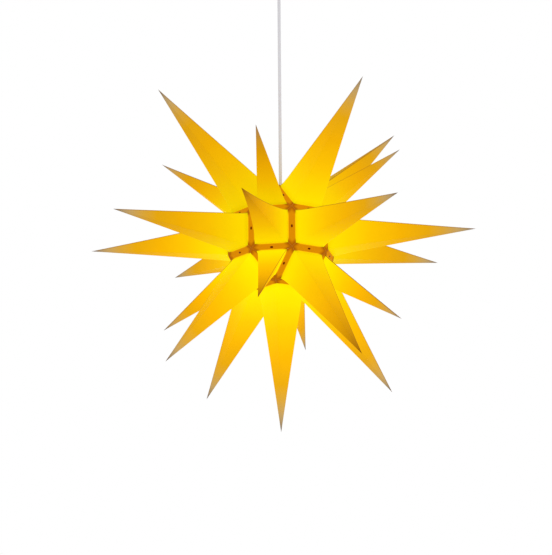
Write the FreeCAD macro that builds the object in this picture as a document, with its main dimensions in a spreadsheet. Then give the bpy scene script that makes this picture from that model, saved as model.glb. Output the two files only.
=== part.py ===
import FreeCAD, Part
import Sketcher
import math
import os
import re

from FreeCAD import Placement, Rotation, Vector

# A hanging star of 25 folded paper points with a lamp inside, on a straight cord from a ceiling cup.
# Millimetres, +Z up. The origin is in the middle of the ceiling face of the fitting.
# The points stand on the faces of a ball of 18 squares and 8 triangles. Its top square stays open.

os.makedirs("parts", exist_ok=True)
doc = FreeCAD.newDocument("paper_star_pendant")
sheet = doc.addObject("Spreadsheet::Sheet", "sizes")

SIZES = {
    # hanging
    "drop_to_star": 475,  # ceiling to the middle of the star
    "cord_radius": 2.5,
    "cord_play": 0.3,  # between the cord and what it passes through
    # paper ball and points
    "ball_edge": 64,
    "big_inset": 6.4,  # from a ball edge to the foot of a four-sided point
    "small_inset": 4.8,  # the same for a three-sided point
    "big_reach": 300,  # star middle to tip
    "small_reach": 228,
    "upper_big_lean": 2.6,  # degrees that the tips hang below their true direction
    "upper_small_lean": 0.4,
    "lower_big_lean": 1.1,
    "lower_small_lean": 0.8,
    "paper": 0.4,
    "crease_gap": 0.02,  # where a point's folds part its walls
    "bottom_tip_aside": -1.4,  # hand folding leaves the bottom tip a little off
    "bottom_tip_back": 1.5,
    "layer_gap": 0.05,  # between two stacked flaps
    "mitre_gap": 0.4,  # along the slanted ends of a flap
    "flap_end_gap": 0.5,  # from a flap's free edge to the foot of its neighbour
    # split pins
    "pin_head_radius": 2.5,
    "pin_head_flat": 1.5,
    "pin_head_rise": 0.9,
    "pin_leg_length": 9,
    "pin_leg_width": 2.2,
    "pin_leg_thick": 0.5,
    "slit_play": 0.2,
    # hanger bar
    "bar_width": 14,
    "bar_thick": 1,
    "bar_below_face": 0.3,
    "bar_end": 4.5,  # past the pin
    # lamp holder
    "nipple_radius": 5,
    "nipple_above": 4.2,
    "nipple_below": 7,
    "thread_play": 0.06,
    "nut_across": 14,
    "nut_thick": 3.5,
    "cap_radius": 15,
    "cap_height": 26,
    "cap_wall": 2,
    "cap_boss": 4,
    "cap_round": 5,
    "clamp_depth": 9,
    "clamp_thick": 3,
    "body_radius": 14,
    "body_length": 30,
    "body_bore": 9.2,
    "spigot_height": 5,
    "spigot_wall": 2,
    "block_radius": 10.7,
    "block_depth": 8,
    "block_rise": 1,
    "wire_radius": 1.2,
    "wire_play": 0.3,
    "wire_start": 1.3,  # half the distance between two wires where they leave the cord
    "wire_spread": 5,  # half the distance between two terminals
    "wire_depth": 4,
    "shell_bore": 7.3,
    "shell_wall": 0.4,
    "shell_length": 18,
    "thread_ridge": 0.35,
    "thread_pitch": 2.82,
    "contact_radius": 3,
    "contact_thick": 0.6,
    "rivet_radius": 1.2,
    "terminal_screw_radius": 1.3,
    "terminal_head_radius": 1.9,
    "terminal_head_thick": 1,
    "terminal_offset": 4.4,
    # bulb
    "bulb_play": 0.3,
    "bulb_radius": 22.5,
    "bulb_length": 78,
    "bulb_wall": 0.8,
    "bulb_cap_length": 21,
    "bulb_cap_radius": 6.95,
    "bulb_skirt_radius": 8,
    "bulb_skirt_length": 3,
    "bulb_cap_wall": 0.4,
    "bulb_neck_radius": 9,
    "bulb_shoulder_radius": 18.1,
    "insulator_rise": 2,
    "bulb_contact_radius": 2.2,
    "bulb_contact_rise": 0.8,
    "stem_radius": 4,
    "stem_tip_radius": 2.4,
    "stem_length": 24,
    "filament_radius": 0.4,
    # ceiling fitting
    "cup_height": 60,
    "cup_top_radius": 45,
    "cup_bottom_radius": 42,
    "cup_wall": 2,
    "cup_round": 8,
    "bush_radius": 13,
    "bush_flange_radius": 16.5,
    "bush_flange_thick": 4,
    "bush_top": 8,  # above the cup's outer bottom
    "bush_nut_radius": 17.5,
    "bush_nut_thick": 4,
    "ball_radius": 9,
    "ball_play": 0.3,
    "pivot_above": 4,  # ball middle above the cup's outer bottom
    "lip_below": 5,  # retaining lip below the ball middle
    "mouth_radius": 9.5,
    "sleeve_neck_radius": 4.6,
    "sleeve_end_radius": 3.9,
    "sleeve_length": 28,  # ball middle to the sleeve's mouth
    "sleeve_mouth_bevel": 0.8,
    "bracket_width": 20,
    "bracket_thick": 1.5,
    "bracket_tab": 18,
    "tab_play": 0.6,
    "slot_spacing": 50,
    "slot_length": 12,
    "slot_radius": 2.25,
    "screw_radius": 2,
    "screw_depth": 12,  # below the ceiling
    "screw_head_radius": 3.5,
    "screw_head_thick": 2.2,
    "screw_past_tab": 3,
    "terminal_width": 24,
    "terminal_length": 16,
    "terminal_height": 14,
    "block_screw_radius": 1.5,
    "block_screw_head_radius": 2.8,
    "block_screw_head_thick": 1.6,
    "side_screw_depth": 4,
    "lead_end": 30,  # below the ceiling
}


def fillSheet():
    for row, (alias, amount) in enumerate(SIZES.items(), start=1):
        sheet.set(f"A{row}", alias)
        sheet.set(f"B{row}", str(amount))
        sheet.setAlias(f"B{row}", alias)
    doc.recompute()


def named(formula):
    """A formula of plain size names, written for the document's expressions."""

    def spelled(word):
        return f"sizes.{word[0]}" if word[0] in SIZES else word[0]

    return re.sub(r"[a-z]\w*", spelled, formula)


def number(formula):
    return float(sheet.evalExpression(named(formula)))


def bind(thing, target, formula):
    thing.setExpression(target, named(formula))


fillSheet()


def newBody(label, height="0"):
    """An empty body whose own zero lies at the given height."""
    body = doc.addObject("PartDesign::Body", label)
    body.Label = label
    bind(body, "Placement.Base.z", height)
    return body


def originPlane(body, role):
    return next(item for item in body.Origin.OriginFeatures if item.Role == role)


def newSketch(body, name, role):
    sketch = body.newObject("Sketcher::SketchObject", f"{body.Label}_{name}")
    sketch.AttachmentSupport = [(originPlane(body, role), "")]
    sketch.MapMode = "FlatFace"
    return sketch


def holdPoint(sketch, line, end, across, up):
    """Ties one end of a line to formulas for its two coordinates."""
    for kind, formula, axis in (("DistanceX", across, -2), ("DistanceY", up, -1)):
        if formula == "0":
            sketch.addConstraint(Sketcher.Constraint("PointOnObject", line, end, axis))
            continue
        tie = sketch.addConstraint(Sketcher.Constraint(kind, -1, 1, line, end, number(formula)))
        bind(sketch, f"Constraints[{tie}]", formula)


def addOutline(sketch, corners):
    """A closed outline of straight lines through corners given as pairs of formulas."""
    places = [Vector(number(across), number(up), 0) for across, up in corners]
    first = sketch.GeometryCount
    count = len(places)
    for i, place in enumerate(places):
        sketch.addGeometry(Part.LineSegment(place, places[(i + 1) % count]), False)
    for i in range(count):
        after = first + (i + 1) % count
        sketch.addConstraint(Sketcher.Constraint("Coincident", first + i, 2, after, 1))
    for i, (across, up) in enumerate(corners):
        holdPoint(sketch, first + i, 1, across, up)


def addCircle(sketch, across, up, radius):
    middle = Vector(number(across), number(up), 0)
    circle = sketch.addGeometry(Part.Circle(middle, Vector(0, 0, 1), number(radius)), False)
    holdPoint(sketch, circle, 3, across, up)
    tie = sketch.addConstraint(Sketcher.Constraint("Radius", circle, number(radius)))
    bind(sketch, f"Constraints[{tie}]", radius)


def addSlot(sketch, middle, reach, radius):
    """A round-ended slot along the sketch's first axis, reach from its middle to each round's middle."""
    left = number(f"{middle} - {reach}")
    right = number(f"{middle} + {reach}")
    round_ = number(radius)
    quarter = math.pi / 2
    out = Vector(0, 0, 1)
    ends = [
        Part.ArcOfCircle(Part.Circle(Vector(right, 0, 0), out, round_), -quarter, quarter),
        Part.ArcOfCircle(Part.Circle(Vector(left, 0, 0), out, round_), quarter, 3 * quarter),
    ]
    sides = [
        Part.LineSegment(Vector(right, round_, 0), Vector(left, round_, 0)),
        Part.LineSegment(Vector(left, -round_, 0), Vector(right, -round_, 0)),
    ]
    arcR, top, arcL, low = [
        sketch.addGeometry(piece, False) for piece in (ends[0], sides[0], ends[1], sides[1])
    ]
    for a, endA, b, endB in ((arcR, 2, top, 1), (top, 2, arcL, 1), (arcL, 2, low, 1), (low, 2, arcR, 1)):
        sketch.addConstraint(Sketcher.Constraint("Tangent", a, endA, b, endB))
    sketch.addConstraint(Sketcher.Constraint("Horizontal", top))
    holdPoint(sketch, arcR, 3, f"{middle} + {reach}", "0")
    tie = sketch.addConstraint(Sketcher.Constraint("DistanceX", -1, 1, arcL, 3, left))
    bind(sketch, f"Constraints[{tie}]", f"{middle} - {reach}")
    tie = sketch.addConstraint(Sketcher.Constraint("Radius", arcR, round_))
    bind(sketch, f"Constraints[{tie}]", radius)


def turned(label, corners, height="0"):
    """A body turned about the vertical axis from corners given as radius and height formulas."""
    body = newBody(label, height)
    sketch = newSketch(body, "profile", "XZ_Plane")
    addOutline(sketch, corners)
    turn = body.newObject("PartDesign::Revolution", f"{label}_turn")
    turn.Profile = sketch
    turn.ReferenceAxis = (sketch, ["V_Axis"])
    turn.Angle = 360
    sketch.Visibility = False
    doc.recompute()
    return body


def cutThrough(body, name, role, draw):
    """A pocket through the whole body from a sketch that the draw function fills."""
    before = body.Shape.Volume
    sketch = newSketch(body, name, role)
    draw(sketch)
    pocket = body.newObject("PartDesign::Pocket", f"{body.Label}_{name}_cut")
    pocket.Profile = sketch
    pocket.SideType = "Symmetric"
    pocket.Type = "ThroughAll"
    doc.recompute()
    if body.Shape.Volume > before - 0.01:
        raise ValueError(f"{body.Label}: {name} cuts nothing")
    return pocket


def roundRing(body, name, ringRadius, ringHeight, radius):
    """Rounds the circular edge of the given radius and height, both in the body's own frame."""
    wantedRadius = number(ringRadius)
    wantedHeight = number(ringHeight)
    base = body.Tip
    names = []
    for i, edge in enumerate(base.Shape.Edges, start=1):
        if not isinstance(edge.Curve, Part.Circle):
            continue
        near = abs(edge.Curve.Radius - wantedRadius) < 0.01
        if near and abs(edge.Curve.Center.z - wantedHeight) < 0.01:
            names.append(f"Edge{i}")
    fillet = body.newObject("PartDesign::Fillet", f"{body.Label}_{name}")
    fillet.Base = (base, names)
    bind(fillet, "Radius", radius)
    doc.recompute()


def feature(label, shape, middle=None, angle=0):
    """A sub-part with a shape of its own, set down at a middle and turned about the vertical."""
    item = doc.addObject("Part::Feature", label)
    item.Label = label
    item.Shape = shape
    item.Placement = Placement(middle or Vector(), Rotation(Vector(0, 0, 1), angle)) * shape.Placement
    return item


def polyhedron(rings):
    """A closed solid of flat faces through two rings of as many corners."""
    low, high = rings
    faces = [Part.Face(Part.makePolygon(ring + [ring[0]])) for ring in rings]
    for i in range(len(low)):
        j = (i + 1) % len(low)
        faces.append(Part.Face(Part.makePolygon([low[i], low[j], high[j], high[i], low[i]])))
    solid = Part.Solid(Part.Shell(faces))
    if solid.Volume < 0:
        solid.reverse()
    return solid


def wirePath(places, bend):
    """Straight runs through the places, joined by arcs that touch both runs."""
    edges = []
    start = places[0]
    for before, corner, after in zip(places, places[1:], places[2:]):
        back = (before - corner).normalize()
        on = (after - corner).normalize()
        half = back.getAngle(on) / 2
        cut = bend / math.tan(half)
        middle = corner + (back + on).normalize() * (bend / math.sin(half))
        arcStart = corner + back * cut
        arcEnd = corner + on * cut
        arcMid = middle + (corner - middle).normalize() * bend
        edges.append(Part.LineSegment(start, arcStart).toShape())
        edges.append(Part.Arc(arcStart, arcMid, arcEnd).toShape())
        start = arcEnd
    edges.append(Part.LineSegment(start, places[-1]).toShape())
    return Part.Wire(edges)


def roundWire(places, bend, radius):
    path = wirePath(places, bend)
    ring = Part.Wire(Part.makeCircle(radius, places[0], places[1] - places[0]))
    solid = path.makePipeShell([ring], True, True)
    straight = math.pi * radius**2 * path.Length
    if abs(solid.Volume / straight - 1) > 0.01:
        raise ValueError("a round wire lost its section")
    return solid


def ballFaces():
    """Every face of the ball as (direction, corners in order round it)."""
    half = number("ball_edge") / 2
    long = half * (1 + math.sqrt(2))
    corners = []
    for spot in range(3):
        for signs in range(8):
            sizes = [half, half, half]
            sizes[spot] = long
            turns = [1 if signs & bit else -1 for bit in (1, 2, 4)]
            corners.append(Vector(*[size * turn for size, turn in zip(sizes, turns)]))
    steps = (-1, 0, 1)
    faces = []
    for x in steps:
        for y in steps:
            for z in steps:
                if x == y == z == 0:
                    continue
                out = Vector(x, y, z).normalize()
                furthest = max(corner.dot(out) for corner in corners)
                around = [corner for corner in corners if corner.dot(out) > furthest - 0.001]
                faces.append((out, inOrder(around, out)))
    return faces


def inOrder(corners, out):
    """Corners sorted anticlockwise round a direction, seen from outside."""
    middle = sum(corners, Vector()) / len(corners)
    first = (corners[0] - middle).normalize()
    second = out.cross(first)
    return sorted(
        corners, key=lambda c: math.atan2((c - middle).dot(second), (c - middle).dot(first))
    )


def halfTurn(out, band):
    """The angle between a face's direction and the direction of the band beside it."""
    return out.getAngle(band)


def bandLevel():
    """Distance of every flap joint from the star's middle."""
    edge = number("ball_edge")
    middle = edge / 2 * math.sqrt(4 + 2 * math.sqrt(2))
    return middle - number("big_inset") * math.sin(math.pi / 8)


def footOf(out, corners):
    """The foot of the point on a face: its corners, moved in until its edges lie on the joints."""
    middle = sum(corners, Vector()) / len(corners)
    inset = number("big_inset") if len(corners) == 4 else number("small_inset")
    edgeMiddle = (corners[0] + corners[1]) / 2
    inner = (edgeMiddle - middle).Length
    apothem = inner - inset
    turn = halfTurn(out, edgeMiddle)
    height = (bandLevel() - apothem * math.sin(turn)) / math.cos(turn)
    return [out * height + (corner - middle) * (apothem / inner) for corner in corners], apothem


def isOuterFlap(out, band):
    """Flaps at the top and on the right lie outside their neighbours' flaps."""
    side = Vector(0, 0, 1).cross(out)
    if side.Length < 0.001:
        return True
    toward = band - out * band.dot(out)
    across = toward.dot(side)
    return across > 0 if abs(across) > 0.01 else toward.z > 0


def neighbourFoot(out, shared):
    """The foot corners of the face that shares a ball edge with the face looking along out."""
    for other, corners in ballFaces():
        held = [c for c in corners if min((c - s).Length for s in shared) < 0.001]
        if len(held) == 2 and other.getAngle(out) > 0.01:
            foot = footOf(other, corners)[0]
            return sorted(foot, key=lambda c: min((c - s).Length for s in shared))[:2]
    raise ValueError("a ball edge with one face")


def flap(out, ends, shared):
    """One folded flap: from the point's own edge to its neighbour's, mitred at the slanted ends."""
    band = ((shared[0] + shared[1]) / 2).normalize()
    along = (shared[1] - shared[0]).normalize()
    over = along.cross(band)
    if over.dot(out) > 0:
        over = -over
    level = bandLevel()
    paper = number("paper")
    slant = number("mitre_gap") / 2
    own = abs(ends[0].dot(along))
    middle = (shared[1] - shared[0]).Length / 2 * level / ((shared[0] + shared[1]) / 2).Length
    far = neighbourFoot(out, shared)
    farOver = far[0].dot(over)
    farAlong = abs(far[0].dot(along))
    stop = farOver - number("flap_end_gap")
    stopAlong = middle + (farAlong - middle) * stop / farOver
    start = ends[0].dot(over)
    clear = own - (middle - own) * paper / start
    buried = (start - paper * 0.7, own - paper * 1.5)
    outline = [buried, (start + paper, clear), (0, middle), (stop, stopAlong)]
    low = -number("layer_gap") / 2 - paper
    if isOuterFlap(out, band):
        low = number("layer_gap") / 2
    base = band * (level + low)
    right = [base + over * u + along * (v - slant) for u, v in outline]
    left = [base + over * u - along * (v - slant) for u, v in outline]
    sheetFace = Part.Face(Part.makePolygon(right + left[::-1] + [right[0]]))
    return sheetFace.extrude(band * paper).cut(slit(band, along, over))


def slit(band, along, over):
    """The cut that lets a split pin's legs through the middle of a band."""
    play = number("slit_play")
    halfLong = number("pin_leg_width") / 2 + play
    halfWide = number("pin_leg_thick") + play
    deep = number("paper") * 4
    base = band * (bandLevel() - deep / 2)
    corners = [
        base + over * (halfLong * a) + along * (halfWide * b)
        for a, b in ((1, 1), (-1, 1), (-1, -1), (1, -1))
    ]
    return Part.Face(Part.makePolygon(corners + [corners[0]])).extrude(band * deep)


def leaned(out, lean, turn=0):
    """A direction let down by some degrees, and turned round the vertical by some."""
    side = Vector(0, 0, 1).cross(out)
    if side.Length < 0.001:
        return out
    return Rotation(Vector(0, 0, 1), turn).multVec(Rotation(side, lean).multVec(out))


def meet(planes):
    """The place where three planes cross, each given as its normal and its distance from zero."""
    (a, atA), (b, atB), (c, atC) = planes
    return (b.cross(c) * atA + c.cross(a) * atB + a.cross(b) * atC) / a.dot(b.cross(c))


def facing(direction, toward):
    """A unit direction, turned round where it looks away from another one."""
    direction = direction.normalize()
    return direction if direction.dot(toward) > 0 else direction * -1


def wall(ends, middle, tip, innerTip, footPlane):
    """One flat wall of a point, between the folds at its two sides."""
    here, there = ends
    out = facing((there - here).cross(tip - here), here - middle)
    folds = []
    for end, other in ((here, there), (there, here)):
        side = facing((end - middle).cross(tip - middle), other - end)
        folds.append((side, side.dot(tip) + number("crease_gap") / 2))
    rings = []
    for skin in ((out, out.dot(tip)), (out, out.dot(innerTip))):
        rings.append([meet([skin, fold, footPlane]) for fold in folds] + [meet([skin] + folds)])
    return polyhedron(rings)


def paperPoint(out, corners, tip):
    """One folded point, hollow and open at its foot: flat walls, each with the flap on its foot."""
    foot, apothem = footOf(out, corners)
    middle = sum(foot, Vector()) / len(foot)
    innerTip = middle + (tip - middle) * (1 - number("paper") / apothem)
    footPlane = (out, out.dot(middle) - number("paper") / 2)
    walls = []
    for i in range(len(foot)):
        j = (i + 1) % len(foot)
        side = wall([foot[i], foot[j]], middle, tip, innerTip, footPlane)
        walls.append(side.fuse(flap(out, [foot[i], foot[j]], [corners[i], corners[j]])))
        if len(walls[-1].Solids) != 1:
            raise ValueError("a flap came off its wall")
    return Part.makeCompound([piece.Solids[0] for piece in walls])


STAR_MIDDLE = Vector(0, 0, -number("drop_to_star"))

# Hand folding leaves some tips a little off: degrees round the vertical axis, then degrees up.
TIPS_OFF = {
    "belt_point_1": (-0.4, 0.5),
    "belt_point_3": (0.7, 0.2),
    "belt_point_4": (-0.6, -0.3),
    "belt_point_5": (0.4, 0.8),
    "belt_point_7": (0.2, 0.8),
    "belt_point_8": (0.3, 0),
    "upper_point_1": (0.5, 0),
    "upper_point_3": (-0.2, 0.1),
    "upper_point_4": (-0.6, -0.4),
    "lower_point_1": (0.3, -0.1),
    "lower_point_2": (0.3, 0.5),
    "lower_point_3": (0.5, 0.2),
    "lower_point_4": (0, -0.3),
    "small_upper_point_3": (-0.2, -0.8),
    "small_upper_point_4": (-0.1, 0.3),
    "small_lower_point_1": (-1.1, -0.3),
    "small_lower_point_4": (0.3, 0),
}


def faceAt(azimuth, lift):
    """The ball face whose direction is nearest to an azimuth and a height from -1 to 1."""
    a = math.radians(azimuth)
    want = Vector(math.cos(a), math.sin(a), lift).normalize()
    return max(ballFaces(), key=lambda face: face[0].dot(want))


def ringOfPoints(labels, azimuth, lift, reach, lean):
    """Points at equal turns round the vertical axis, each with its own tip."""
    out, corners = faceAt(azimuth, lift)
    for i, label in enumerate(labels):
        turn, rise = TIPS_OFF.get(label, (0, 0))
        tip = leaned(out, lean - rise, turn) * reach
        feature(label, paperPoint(out, corners, tip), STAR_MIDDLE, i * 360 / len(labels))
    return labels


def paperPoints():
    big = number("big_reach")
    small = number("small_reach")
    quarters = ("1", "2", "3", "4")
    made = ringOfPoints([f"belt_point_{i}" for i in ("1", "3", "5", "7")], 0, 0, big, 0)
    made += ringOfPoints([f"belt_point_{i}" for i in ("2", "4", "6", "8")], 45, 0, big, 0)
    for name, azimuth, lift, reach, lean in (
        ("upper_point", 0, 1, big, "upper_big_lean"),
        ("lower_point", 0, -1, big, "lower_big_lean"),
        ("small_upper_point", 45, 0.7, small, "upper_small_lean"),
        ("small_lower_point", 45, -0.7, small, "lower_small_lean"),
    ):
        made += ringOfPoints([f"{name}_{i}" for i in quarters], azimuth, lift, reach, number(lean))
    out, corners = min(ballFaces(), key=lambda face: face[0].z)
    off = Vector(number("bottom_tip_aside"), number("bottom_tip_back"), 0)
    feature("bottom_point", paperPoint(out, corners, out * big + off), STAR_MIDDLE)
    return made + ["bottom_point"]


def bands():
    """Every joint between two faces as (band direction, direction along it, whether it is at the top)."""
    found = []
    for out, corners in ballFaces():
        for i, corner in enumerate(corners):
            after = corners[(i + 1) % len(corners)]
            band = ((corner + after) / 2).normalize()
            if all(band.getAngle(other[0]) > 0.01 for other in found):
                atTop = band.z > math.cos(math.radians(30))
                found.append((band, (after - corner).normalize(), atTop))
    return found


def splitPin(grip):
    """A pin with its head above zero and its legs folded out under what it grips."""
    rise = number("pin_head_rise")
    head = Part.makeCone(number("pin_head_radius"), number("pin_head_flat"), rise)
    width = number("pin_leg_width")
    thick = number("pin_leg_thick")
    length = number("pin_leg_length")
    shank = Part.makeBox(width, 2 * thick, grip + thick, Vector(-width / 2, -thick, -grip - thick))
    pin = head.fuse(shank)
    for side in (1, -1):
        start = min(0, side * thick)
        leg = Part.makeBox(width, thick, thick, Vector(-width / 2, start, -grip - thick))
        fold = Part.makeBox(width, length, thick, Vector(-width / 2, 0, -grip - thick))
        if side < 0:
            fold = fold.mirror(Vector(), Vector(0, 1, 0))
        pin = pin.fuse(fold.fuse(leg))
    return pin.removeSplitter()


def splitPins():
    """One pin in each joint, and one at each end of the hanger bar."""
    gap = number("layer_gap")
    stack = 2 * number("paper") + 2 * gap
    atBar = number("paper") + number("bar_thick") + 2 * gap
    top = bandLevel() + gap / 2 + number("paper") + gap / 2
    flat = splitPin(stack)
    deep = splitPin(atBar)
    pins = []
    for band, along, atTop in bands():
        if atTop and abs(band.x) < 0.01:
            continue
        pin = (deep if atTop else flat).copy()
        turn = Rotation(along.cross(band), along, band, "ZXY")
        pin.Placement = Placement(band * top, turn)
        pins.append(pin)
    feature("split_pins", Part.makeCompound(pins), STAR_MIDDLE)


FACE = "ball_edge * ( 1 + sqrt(2) ) / 2"
JOINT_LEVEL = "( ball_edge * sqrt(4 + 2 * sqrt(2) ) / 2 - big_inset * sin(22.5) )"
BAR_TOP = f"{FACE} - bar_below_face"
BAR_UNDER = f"{BAR_TOP} - bar_thick - drop_to_star"
CAP_FOOT = f"{BAR_UNDER} - cap_height"
BLOCK_UNDER = f"{CAP_FOOT} - block_depth"
BULB_TOP = f"{BLOCK_UNDER} - contact_thick - bulb_play"
CORD_BORE = "( cord_radius + cord_play )"
PIVOT = "( 0 - cup_height + pivot_above )"
MOUTH = f"( {PIVOT} - sleeve_length )"
CORD_END = f"( {BAR_UNDER} - clamp_depth - clamp_thick - 1 )"


def hangerBar():
    """A flat strip whose ends slope down under two opposite top flaps."""
    body = newBody("hanger_bar", f"{BAR_TOP} - drop_to_star")
    under = f"( {JOINT_LEVEL} - layer_gap / 2 )"
    bend = f"( ( {under} - ( {BAR_TOP} ) * cos(22.5) ) / sin(22.5) )"
    endX = f"( {under} * sin(22.5) + bar_end * cos(22.5) )"
    endZ = f"( {under} * cos(22.5) - bar_end * sin(22.5) - ( {BAR_TOP} ) )"
    lowX = f"( {endX} - bar_thick * sin(22.5) )"
    lowZ = f"( {endZ} - bar_thick * cos(22.5) )"
    lowBend = f"( {bend} - bar_thick * tan(11.25) )"
    right = [(bend, "0"), (endX, endZ), (lowX, lowZ), (lowBend, "0 - bar_thick")]
    left = [(f"0 - {across}", up) for across, up in reversed(right)]
    profile = newSketch(body, "profile", "XZ_Plane")
    addOutline(profile, right + left)
    pad = body.newObject("PartDesign::Pad", "hanger_bar_strip")
    pad.Profile = profile
    pad.SideType = "Symmetric"
    bind(pad, "Length", "bar_width")
    doc.recompute()
    cutThrough(
        body, "nipple_hole", "XY_Plane",
        lambda s: addCircle(s, "0", "0", "nipple_radius + thread_play"),
    )
    place = f"( ( {under} - bar_thick / 2 ) * sin(22.5) )"
    halfLong = "( ( pin_leg_width / 2 + slit_play ) / cos(22.5) + bar_thick * tan(22.5) / 2 )"
    halfWide = "( pin_leg_thick + slit_play )"
    for name, side in (("right_slit", ""), ("left_slit", "0 - ")):
        low = f"{side}{place} - {halfLong}"
        high = f"{side}{place} + {halfLong}"
        corners = [(low, f"0 - {halfWide}"), (high, f"0 - {halfWide}"), (high, halfWide), (low, halfWide)]
        cutThrough(body, name, "XY_Plane", lambda s: addOutline(s, corners))


def primitive(kind, name, height, x="0", y="0", **sizes):
    """A named Part primitive with every size bound, standing at a height."""
    item = doc.addObject(f"Part::{kind}", name)
    for key, formula in sizes.items():
        bind(item, key, formula)
    for letter, formula in (("x", x), ("y", y), ("z", height)):
        bind(item, f"Placement.Base.{letter}", formula)
    return item


def fused(name, pieces):
    item = doc.addObject("Part::MultiFuse", name)
    item.Shapes = pieces
    return item


def cutFrom(label, base, tools):
    """A sub-part: a base with tools cut out of it."""
    tool = tools[0] if len(tools) == 1 else fused(f"{label}_tools", tools)
    item = doc.addObject("Part::Cut", label)
    item.Base = base
    item.Tool = tool
    item.Label = label
    doc.recompute()
    if item.Shape.Volume > base.Shape.Volume - 0.01:
        raise ValueError(f"{label}: the tools cut nothing")
    return item


def hexNut(label, height, across, thick, bore):
    prism = primitive("Prism", f"{label}_hex", height, Height=thick, Circumradius=f"{across} / 2 / cos(30)")
    prism.Polygon = 6
    hole = primitive("Cylinder", f"{label}_hole", height, Radius=bore, Height=thick)
    cutFrom(label, prism, [hole])


def screw(radius, length, headRadius, headThick):
    """A screw with a slotted flat head above zero and its shank pointing down."""
    head = Part.makeCylinder(headRadius, headThick)
    slot = Part.makeBox(4 * headRadius, headThick / 3, headThick / 2)
    slot.translate(Vector(-2 * headRadius, -headThick / 6, headThick / 2))
    shank = Part.makeCylinder(radius, length, Vector(0, 0, -length))
    return head.cut(slot).fuse(shank)


def corrugated(radius, ridge, top, length):
    """Radius and height formulas down a rolled thread: ridges half a pitch apart."""
    steps = int(number(length) / number("thread_pitch") * 2)
    corners = []
    for k in range(steps + 1):
        grow = ridge if k % 2 else "0"
        corners.append((f"{radius} + {grow}", f"{top} - {k} * thread_pitch / 2"))
    return corners


def holderNipple():
    bevel = "thread_play * 8"
    top = "bar_thick + nipple_above"
    turned(
        "holder_nipple",
        [
            (CORD_BORE, "0 - nipple_below"),
            ("nipple_radius", "0 - nipple_below"),
            ("nipple_radius", f"{top} - {bevel}"),
            (f"nipple_radius - {bevel}", top),
            (CORD_BORE, top),
        ],
        BAR_UNDER,
    )
    hexNut("lock_nut", f"{BAR_UNDER} + bar_thick", "nut_across", "nut_thick", "nipple_radius + thread_play")


def holderShells():
    """The cap that hangs under the bar and the body screwed into it."""
    inner = "cap_radius - cap_wall"
    hole = "nipple_radius + thread_play"
    boss = "nipple_radius + cap_wall"
    cap = turned(
        "holder_cap",
        [
            (hole, "0"),
            ("cap_radius", "0"),
            ("cap_radius", "0 - cap_height"),
            (inner, "0 - cap_height"),
            (inner, "0 - cap_round"),
            (f"{inner} - cap_round + cap_wall", "0 - cap_wall"),
            (boss, "0 - cap_wall"),
            (boss, "0 - cap_boss"),
            (hole, "0 - cap_boss"),
        ],
        BAR_UNDER,
    )
    roundRing(cap, "shoulder", "cap_radius", "0", "cap_round")
    spigot = f"{inner} - thread_play"
    seat = "block_radius + thread_play"
    ridges = corrugated("body_radius", "thread_ridge", "0 - thread_pitch", "body_length - 3 * thread_pitch")
    turned(
        "holder_body",
        [(seat, "spigot_height"), (spigot, "spigot_height"), (spigot, "0 - thread_play")]
        + [("body_radius", "0 - thread_play")]
        + ridges
        + [
            ("body_radius", "0 - body_length"),
            ("body_bore", "0 - body_length"),
            ("body_bore", "0 - block_depth - thread_play"),
            (seat, "0 - block_depth - thread_play"),
        ],
        CAP_FOOT,
    )
    plate = primitive(
        "Cylinder", "clamp_plate", f"{BAR_UNDER} - clamp_depth - clamp_thick",
        Radius=f"{inner} - thread_play", Height="clamp_thick",
    )
    hole = primitive(
        "Cylinder", "clamp_hole", f"{BAR_UNDER} - clamp_depth - clamp_thick",
        Radius=CORD_BORE, Height="clamp_thick",
    )
    cutFrom("cord_clamp", plate, [hole])


def contactBlock():
    """The insulating block with its rolled shell, sprung contact and terminal screws."""
    disc = primitive(
        "Cylinder", "contact_disc", BLOCK_UNDER, Radius="block_radius", Height="block_depth + block_rise"
    )
    top = f"{CAP_FOOT} + block_rise"
    holes = [
        primitive(
            "Cylinder", "rivet_hole", BLOCK_UNDER,
            Radius="rivet_radius + thread_play", Height="block_depth + block_rise",
        )
    ]
    screwLength = "( block_depth - wire_depth / 2 )"
    for side, sign in (("right", ""), ("left", "0 - ")):
        holes.append(primitive(
            "Cylinder", f"{side}_wire_hole", f"{top} - wire_depth - wire_play", f"{sign}wire_spread",
            Radius="wire_radius + wire_play", Height="wire_depth + wire_play",
        ))
        holes.append(primitive(
            "Cylinder", f"{side}_screw_hole", f"{top} - {screwLength} - thread_play", f"{sign}wire_spread",
            "terminal_offset", Radius="terminal_screw_radius + thread_play",
            Height=f"{screwLength} + thread_play",
        ))
    cutFrom("contact_block", disc, holes)
    single = screw(
        number("terminal_screw_radius"), number(screwLength),
        number("terminal_head_radius"), number("terminal_head_thick"),
    )
    both = []
    for side in (1, -1):
        one = single.copy()
        one.translate(Vector(side * number("wire_spread"), number("terminal_offset"), 0))
        both.append(one)
    feature("holder_screws", Part.makeCompound(both), Vector(0, 0, number(top)))
    inside = corrugated("shell_bore", "thread_ridge", "0 - contact_thick", "shell_length - thread_pitch")
    outside = [(f"{radius} + shell_wall", up) for radius, up in reversed(inside)]
    turned(
        "screw_shell",
        [("shell_bore", "0")] + inside + outside + [("shell_bore + shell_wall", "0")],
        BLOCK_UNDER,
    )
    turned(
        "centre_contact",
        [
            ("0", "0 - contact_thick"),
            ("contact_radius", "0 - contact_thick"),
            ("contact_radius", "0"),
            ("rivet_radius", "0"),
            ("rivet_radius", "block_depth + block_rise + contact_thick"),
            ("0", "block_depth + block_rise + contact_thick"),
        ],
        BLOCK_UNDER,
    )
    start = number(CORD_END) - number("wire_play")
    end = number(f"{top} - wire_depth")
    level = number(f"{top} + terminal_head_thick + wire_play")
    feature("holder_conductors", wirePair(start, level, end))


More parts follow.
